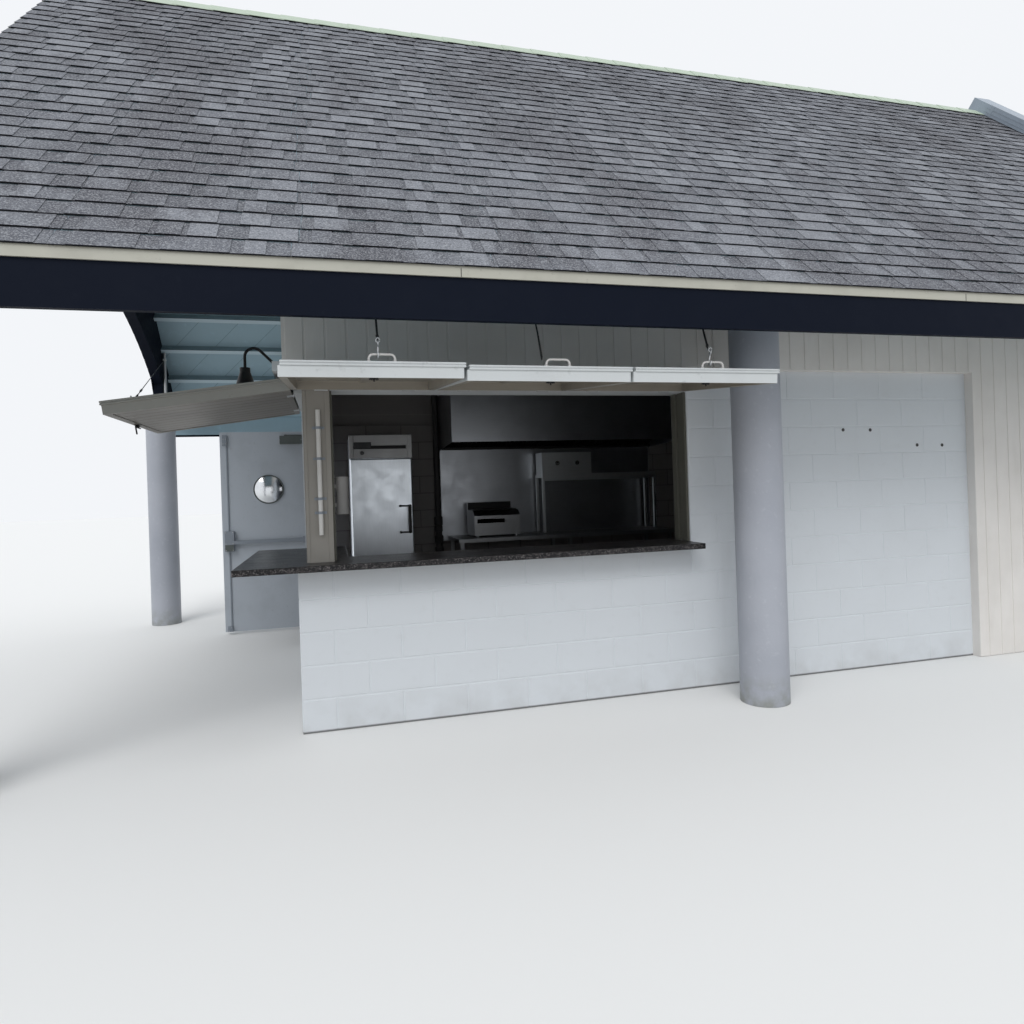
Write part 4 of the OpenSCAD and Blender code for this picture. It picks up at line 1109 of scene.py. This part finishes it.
def wall_plugs():
    """Plugged holes in the front wall."""
    shape = Shape()
    for x, z in HOLES:
        shape.tube(ring_xz(at(x, -0.0032, z), 0.011), 0.0022, 6)
        shape.disc(at(x, -0.0022, z), (0, -1, 0), 0.0095, 0.0008, 12)
    shape.piece("wall_plugs", "pipe", "hardware")


def drip_laps():
    """Dark laps where two lengths of the drip trim meet."""
    shape = Shape()
    for x in DRIP_JOINTS:
        for side in (-1, 1):
            a, b = sorted((side * (DRIP_FACE + 0.0008), side * (DRIP_FACE - 0.002)))
            shape.box((corner.x + x - 0.002, a, EAVE_Z - 0.0535), (corner.x + x + 0.002, b, EAVE_Z - 0.0135))
    shape.piece("drip_laps", "pipe", "cream_trim")


def lamp_bulb():
    """The bulb in the shade, given as height and radius from its socket down."""
    profile = ((2.326, 0.020), (2.300, 0.020), (2.298, 0.014), (2.272, 0.015), (2.262, 0.022),
               (2.245, 0.030), (2.225, 0.029), (2.212, 0.017), (2.206, 0.004))
    shape = Shape()
    shape.tube([at(-0.340, 0.684, z) for z, r in profile], [r for z, r in profile], 20)
    shape.piece("lamp_bulb", "bulb", "white_plastic", smooth=True)


def pipe_valve():
    """Couplings and a valve with its hand wheel, given as height and radius up the pipe."""
    lo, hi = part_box("wall_pipe")
    x, y = (lo.x + hi.x) / 2, (lo.y + hi.y) / 2 - 0.018
    profile = ((0.700, 0.038), (0.706, 0.049), (0.775, 0.049), (0.782, 0.038), (0.815, 0.038),
               (0.832, 0.052), (0.903, 0.052), (0.920, 0.038), (0.955, 0.038), (0.960, 0.046),
               (1.022, 0.046), (1.028, 0.038), (1.040, 0.050), (1.130, 0.050), (1.138, 0.038))
    stem_z, wheel_y, wheel_r = 0.868, y - 0.080, 0.034
    shape = Shape()
    shape.tube([(x, y, z) for z, r in profile], [r for z, r in profile], 20)
    shape.tube([(x, y - 0.045, stem_z), (x, wheel_y, stem_z)], 0.010, 12)
    shape.tube(ring_xz((x, wheel_y, stem_z), wheel_r, 15), 0.006, 8)
    for t in (0, 60, 120):
        dx, dz = wheel_r * math.cos(math.radians(t)), wheel_r * math.sin(math.radians(t))
        shape.tube([(x - dx, wheel_y, stem_z - dz), (x + dx, wheel_y, stem_z + dz)], 0.004, 8)
    shape.piece("pipe_valve", "pipe", "hardware")


# Roof parts

def fascia_linings():
    """Pale backing boards behind the fascias."""
    lo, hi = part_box("fascias")
    shape = Shape()
    for side in (-1, 1):
        a, b = sorted((side * FASCIA_BACK, side * (FASCIA_BACK + 0.011)))
        top = under_roof(FASCIA_BACK, DECK_DEPTH) - 0.012
        shape.box((lo.x + 0.02, a, lo.z + 0.022), (hi.x - 0.02, b, top), 0.002)
    shape.piece("fascia_linings", "ceiling", "ceiling_paint")


def seam_line(offset, slant, area):
    """The part of a slanting line that lies in an area of the slope (x0, x1, up0, up1)."""
    x0, x1, up0, up1 = area
    dx, ds = math.cos(slant), -math.sin(slant)
    start = (corner.x - 0.872 - offset / math.sin(slant), 1.346)
    low, high = -99.0, 99.0
    for middle, step, a, b in ((start[0], dx, x0, x1), (start[1], ds, up0, up1)):
        ends = sorted(((a - middle) / step, (b - middle) / step))
        low, high = max(low, ends[0]), min(high, ends[1])
    if high - low < 0.05:
        return None
    return [(start[0] + dx * t, start[1] + ds * t) for t in (low, high)]


def deck_seams():
    """Seams of the deck's boards, which lie slanting under the porch and the eaves."""
    slant = math.radians(131.6)
    board, half = 0.32, 0.0028
    across = (math.sin(slant) * half, math.cos(slant) * half)
    room_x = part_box("left_gable_siding")[0].x
    wall_up = SLOPE_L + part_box("front_siding")[0].y / math.cos(PITCH)
    areas = ((arch_hi.x + 0.01, room_x - 0.01, 0.09, SLOPE_L - 0.06),
             (room_x, roof_hi.x - 0.03, 0.09, wall_up - 0.10))
    shape = Shape()
    for side in (1, -1):
        for area in areas:
            offset = -9.6
            while offset < 16.0:
                offset += board
                line = seam_line(offset, slant, area)
                if line is None:
                    continue
                (ua, va), (ub, vb) = line
                corners = ((ua, va, -1), (ub, vb, -1), (ub, vb, 1), (ua, va, 1))
                shape.loft([[slope_point(u + across[0] * k, v + across[1] * k, deep, side)
                             for u, v, k in corners] for deep in (DECK_DEPTH - 0.0005, DECK_DEPTH + 0.0012)])
    shape.piece("deck_seams", "seam", "ceiling_paint")


def coping_folds():
    """Ribs along the coping's left face, the ends of its folds, and its laps."""
    lo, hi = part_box("rake_coping")
    shape = Shape()

    def strip(x, corners, side):
        """A flat strip on the left face, from one pair of points (up, depth) to another."""
        rings = []
        for pair in corners:
            a, b = (slope_point(x, up, deep, side) for up, deep in pair)
            rings.append([a, b] + moved([b, a], x=-thick))
        shape.loft(rings)

    for side in (1, -1):
        thick = 0.0025
        for deep in (-0.034, -0.074):
            strip(lo.x, [[(up, deep + half) for half in (-0.003, 0.003)]
                         for up in (0.008 - deep, SLOPE_L - 0.12)], side)
        cap = rectangle((lo.x + 0.006, lo.z + 0.006, hi.x - 0.006, lo.z + COPING_H / math.cos(PITCH) - 0.010))
        shape.loft([[(x, side * (lo.y + out), z) for x, z in cap] for out in (0.0015, 0.0045)])
        thick = 0.0018
        for up in (1.45, 2.95, 4.30):
            strip(lo.x, [[(s, deep) for deep in (-0.108, -0.001)] for s in (up, up + 0.035)], side)
    shape.piece("coping_folds", "coping", "coping_metal")


# Door, fridge and kitchen

def door_fittings():
    """Rides on the leaf, which stands open at rest: its inner face looks to the front."""
    face = 3.400
    shape = Shape()
    shape.box(at(-0.893, face - 0.0562, 0.881), at(-0.807, face - 0.0548, 0.948), 0.0005)
    shape.piece("case_foot", "case_dark", "hardware", "door")
    screws = (
        (0.0548, 0.005, 0.0022, [(x, z) for z in (1.078, 0.960, 0.889) for x in (-0.885, -0.815)]),
        (0.030, 0.004, 0.002, ((-0.885, 2.060), (-0.860, 2.060), (-0.885, 2.012), (-0.860, 2.012),
                               (-0.885, 0.045), (-0.860, 0.075))),
        (0.055, 0.0045, 0.002, [(x, z) for x in (-0.320, -0.098) for z in (2.044, 1.998)]),
    )
    shape = Shape()
    for out, radius, high, places in screws:
        for x, z in places:
            shape.disc(at(x, face - out, z), (0, -1, 0), radius, high, 10)
    shape.piece("door_screws", "hardware", "hardware", "door")
    shape = Shape()
    shape.tube(ring_xz(at(-0.448, face - 0.012, 1.521), 0.1505, 48), 0.0052, 8)
    shape.piece("mirror_rim", "case_dark", "hardware", "door", smooth=True)


def fridge_unit():
    """Upright refrigerator: carcass, eased door with its gasket, top panel and pull."""
    lo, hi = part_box("fridge")
    x0, x1, y = lo.x, hi.x, lo.y + 0.052
    back = y + 0.060
    foot, door_top, panel_foot = 0.120, 1.806, 1.812
    left, slot_end, right = corner.x + 0.437, corner.x + 0.985, corner.x + 0.998
    slot_lo, slot_hi = 1.909, 1.943
    dial = (corner.x + 0.525, y, 1.866)
    shape = Shape()
    shape.boxes((
        ((x0 + 0.012, y + 0.050, foot), (x1 - 0.012, back + 0.0002, door_top), 0.002),
        ((x0 + 0.03, y + 0.030, 0.030), (x1 - 0.03, back + 0.0002, 0.112), 0.002),
        ((left, y + 0.0205, slot_lo), (slot_end, y + 0.0225, slot_hi), 0.0)))
    shape.piece("fridge_gasket", "black", "black_paint")
    shape = Shape()
    shape.box((x0, back, lo.z), (x1, hi.y, hi.z), 0.006)
    shape.box((x0 + 0.006, y, foot), (x1 - 0.006, y + 0.050, door_top), 0.010)
    body = shape.piece("fridge_body", "appliance", "appliance")
    soften(body, 0.003)
    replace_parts(body, "fridge")
    shape = Shape()
    shape.boxes((
        ((left, y, panel_foot), (right, back, slot_lo), 0.002),
        ((left, y, slot_hi), (right, back, hi.z), 0.002),
        ((slot_end, y, slot_lo), (right, back, slot_hi), 0.0),
        ((x0, y - 0.002, panel_foot), (left - 0.002, back, hi.z), 0.002),
        ((right + 0.002, y - 0.002, panel_foot), (x1, back, hi.z), 0.002),
        ((left, y + 0.0225, slot_lo), (slot_end, back, slot_hi), 0.0)))
    shape.disc(dial, (0, -1, 0), 0.029, 0.006, 24)
    shape.piece("fridge_panel", "panel", "appliance")
    shape = Shape()
    shape.box((corner.x + 0.440, y - 0.004, 1.911), (corner.x + 0.620, y + 0.004, 1.981), 0.003)
    shape.disc((dial[0], y - 0.006, dial[2]), (0, -1, 0), 0.020, 0.016, 24)
    shape.piece("fridge_display", "dark_glass", "black_paint")
    fridge_pull(corner.x + 0.892, corner.x + 1.018, y)


def fridge_pull(x0, x1, face):
    """A bar between two arms, which reach over the door from its edge."""
    y = face - 0.040
    shape = Shape()
    for z in (1.018, 1.297):
        shape.box((x0, y - 0.012, z - 0.008), (x1, y + 0.012, z + 0.008), 0.004)
        shape.box((x0, y - 0.012, z - 0.012), (x0 + 0.022, face + 0.004, z + 0.012), 0.004)
    shape.box((x1 - 0.032, y - 0.012, 1.006), (x1, y + 0.012, 1.309), 0.005)
    shape.box((x1 - 0.022, y, 1.145), (x1, face + 0.004, 1.170), 0.003)
    shape.piece("fridge_pull", "black", "black_paint")


def kitchen_fittings():
    """Knobs and panels of the control box and the griddle."""
    lo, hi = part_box("control_box")
    middle = (lo.z + hi.z) / 2
    shape = Shape()
    for part in (0.3, 0.7):
        x = lo.x + part * (hi.x - lo.x)
        shape.disc((x, lo.y + 0.004, middle), (0, -1, 0), 0.026, 0.004, 24)
        shape.box((x - 0.004, lo.y, middle - 0.019), (x + 0.004, lo.y + 0.003, middle + 0.019), 0.001)
    lo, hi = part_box("griddle")
    top = hi.z
    shape.box((lo.x + 0.030, lo.y, top - 0.235), (hi.x - 0.180, lo.y + 0.003, top - 0.185), 0.001)
    for x in (0.090, 0.190, 0.290):
        shape.disc((lo.x + x, lo.y + 0.001, top - 0.210), (0, -1, 0), 0.018, 0.0009, 20)
    shape.box((lo.x + 0.012, lo.y + 0.105, top - 0.0895), (hi.x - 0.012, hi.y - 0.040, top - 0.078), 0.003)
    shape.box((lo.x + 0.004, hi.y - 0.034, top - 0.086), (hi.x - 0.004, hi.y - 0.0305, top - 0.002), 0.001)
    shape.piece("kitchen_fittings", "black", "black_paint")


def jamb_trim():
    """Strips on the right jamb of the front opening, and one beside the post."""
    low, high = COUNTER_TOP + 0.001, HEAD_Z - 0.001
    shape = Shape()
    for y0, y1, out in ((0.012, 0.052, 0.016), (0.062, 0.120, 0.009), (0.132, 0.190, 0.020)):
        shape.box(at(OPEN_X - out, y0, low), at(OPEN_X + 0.0005, y1, high), 0.002)
    shape.box(at(POST[1] + 0.0005, 0.024, low), at(POST[1] + 0.013, 0.110, high), 0.002)
    shape.piece("jamb_trim", "jamb", "painted_trim")


# Stage

def show_by_ray(tree, unseen, seen, output):
    """Gives one shader to rays from the camera, from gloss and through glass, one to the rest."""
    path = tree.nodes.new("ShaderNodeLightPath")
    direct = path.outputs["Is Camera Ray"]
    for kind in ("Is Glossy Ray", "Is Transmission Ray"):
        direct = add_node(tree, "Math", {0: direct, 1: path.outputs[kind]}, 0, operation="MAXIMUM")
    mix = add_node(tree, "MixShader", {0: direct, 1: unseen, 2: seen}, 0)
    tree.links.new(mix, tree.nodes[output].inputs["Surface"])


def stage():
    """A pale floor, darker for the light that it sends back to the object."""
    floor = bpy.data.meshes.new("floor")
    half = 60.0
    floor.from_pydata([(x, y, 0) for x, y in rectangle((-half, -half, half, half))], [], [(0, 1, 2, 3)])
    ground = bpy.data.objects.new("floor", floor)
    ground.location.z = -0.001
    scene.collection.objects.link(ground)
    material = bpy.data.materials.new("floor_paint")
    material.use_nodes = True
    tree = material.node_tree
    seen = tree.nodes["Principled BSDF"]
    seen.inputs["Base Color"].default_value = (0.80, 0.80, 0.79, 1.0)
    seen.inputs["Roughness"].default_value = 0.9
    bounce = add_node(tree, "BsdfDiffuse", {"Color": (0.55, 0.54, 0.52, 1.0)}, 0)
    show_by_ray(tree, bounce, seen.outputs[0], "Material Output")
    floor.materials.append(material)


def sky():
    """Soft light from all round, a pale background and a wide, weak sun."""
    world = bpy.data.worlds.new("sky")
    world.use_nodes = True
    scene.world = world
    tree = world.node_tree
    light = tree.nodes["Background"]
    light.inputs["Color"].default_value = (0.93, 0.96, 1.0, 1.0)
    light.inputs["Strength"].default_value = 0.82
    white = add_node(tree, "Background", {"Color": (0.90, 0.92, 0.95, 1.0), "Strength": 1.0}, 0)
    show_by_ray(tree, light.outputs[0], white, "World Output")
    sun = bpy.data.lights.new("sun", "SUN")
    sun.energy = 1.5
    sun.angle = math.radians(40)
    lamp = bpy.data.objects.new("sun", sun)
    lamp.rotation_euler = (math.radians(42), 0, math.radians(-25))
    scene.collection.objects.link(lamp)


def camera():
    data = bpy.data.cameras.new("camera")
    data.sensor_width = SENSOR_W
    data.sensor_fit = "HORIZONTAL"
    data.lens = SENSOR_W * FOCAL_PIXELS / IMAGE_PIXELS
    data.shift_y = (CENTRE_PIXEL_Y - IMAGE_PIXELS / 2) / IMAGE_PIXELS
    data.clip_end = 200.0
    eye = bpy.data.objects.new("camera", data)
    turn = (Matrix.Rotation(math.radians(-CAMERA_YAW), 4, "Z") @ Matrix.Rotation(math.radians(90), 4, "X")
            @ Matrix.Rotation(math.radians(CAMERA_ROLL), 4, "Z"))
    eye.matrix_world = Matrix.Translation(CAMERA_PLACE) @ turn
    scene.collection.objects.link(eye)
    scene.camera = eye


camera()
sky()
stage()
block_walls()
linings()
hood_baffles()
siding()
porch_planks()
roof()
corner_post()
counter_slab()
hatches()
stays()
conduit_straps()
wall_plugs()
drip_laps()
lamp_bulb()
pipe_valve()
fascia_linings()
deck_seams()
coping_folds()
door_fittings()
fridge_unit()
kitchen_fittings()
jamb_trim()

scene.view_settings.view_transform = "Standard"
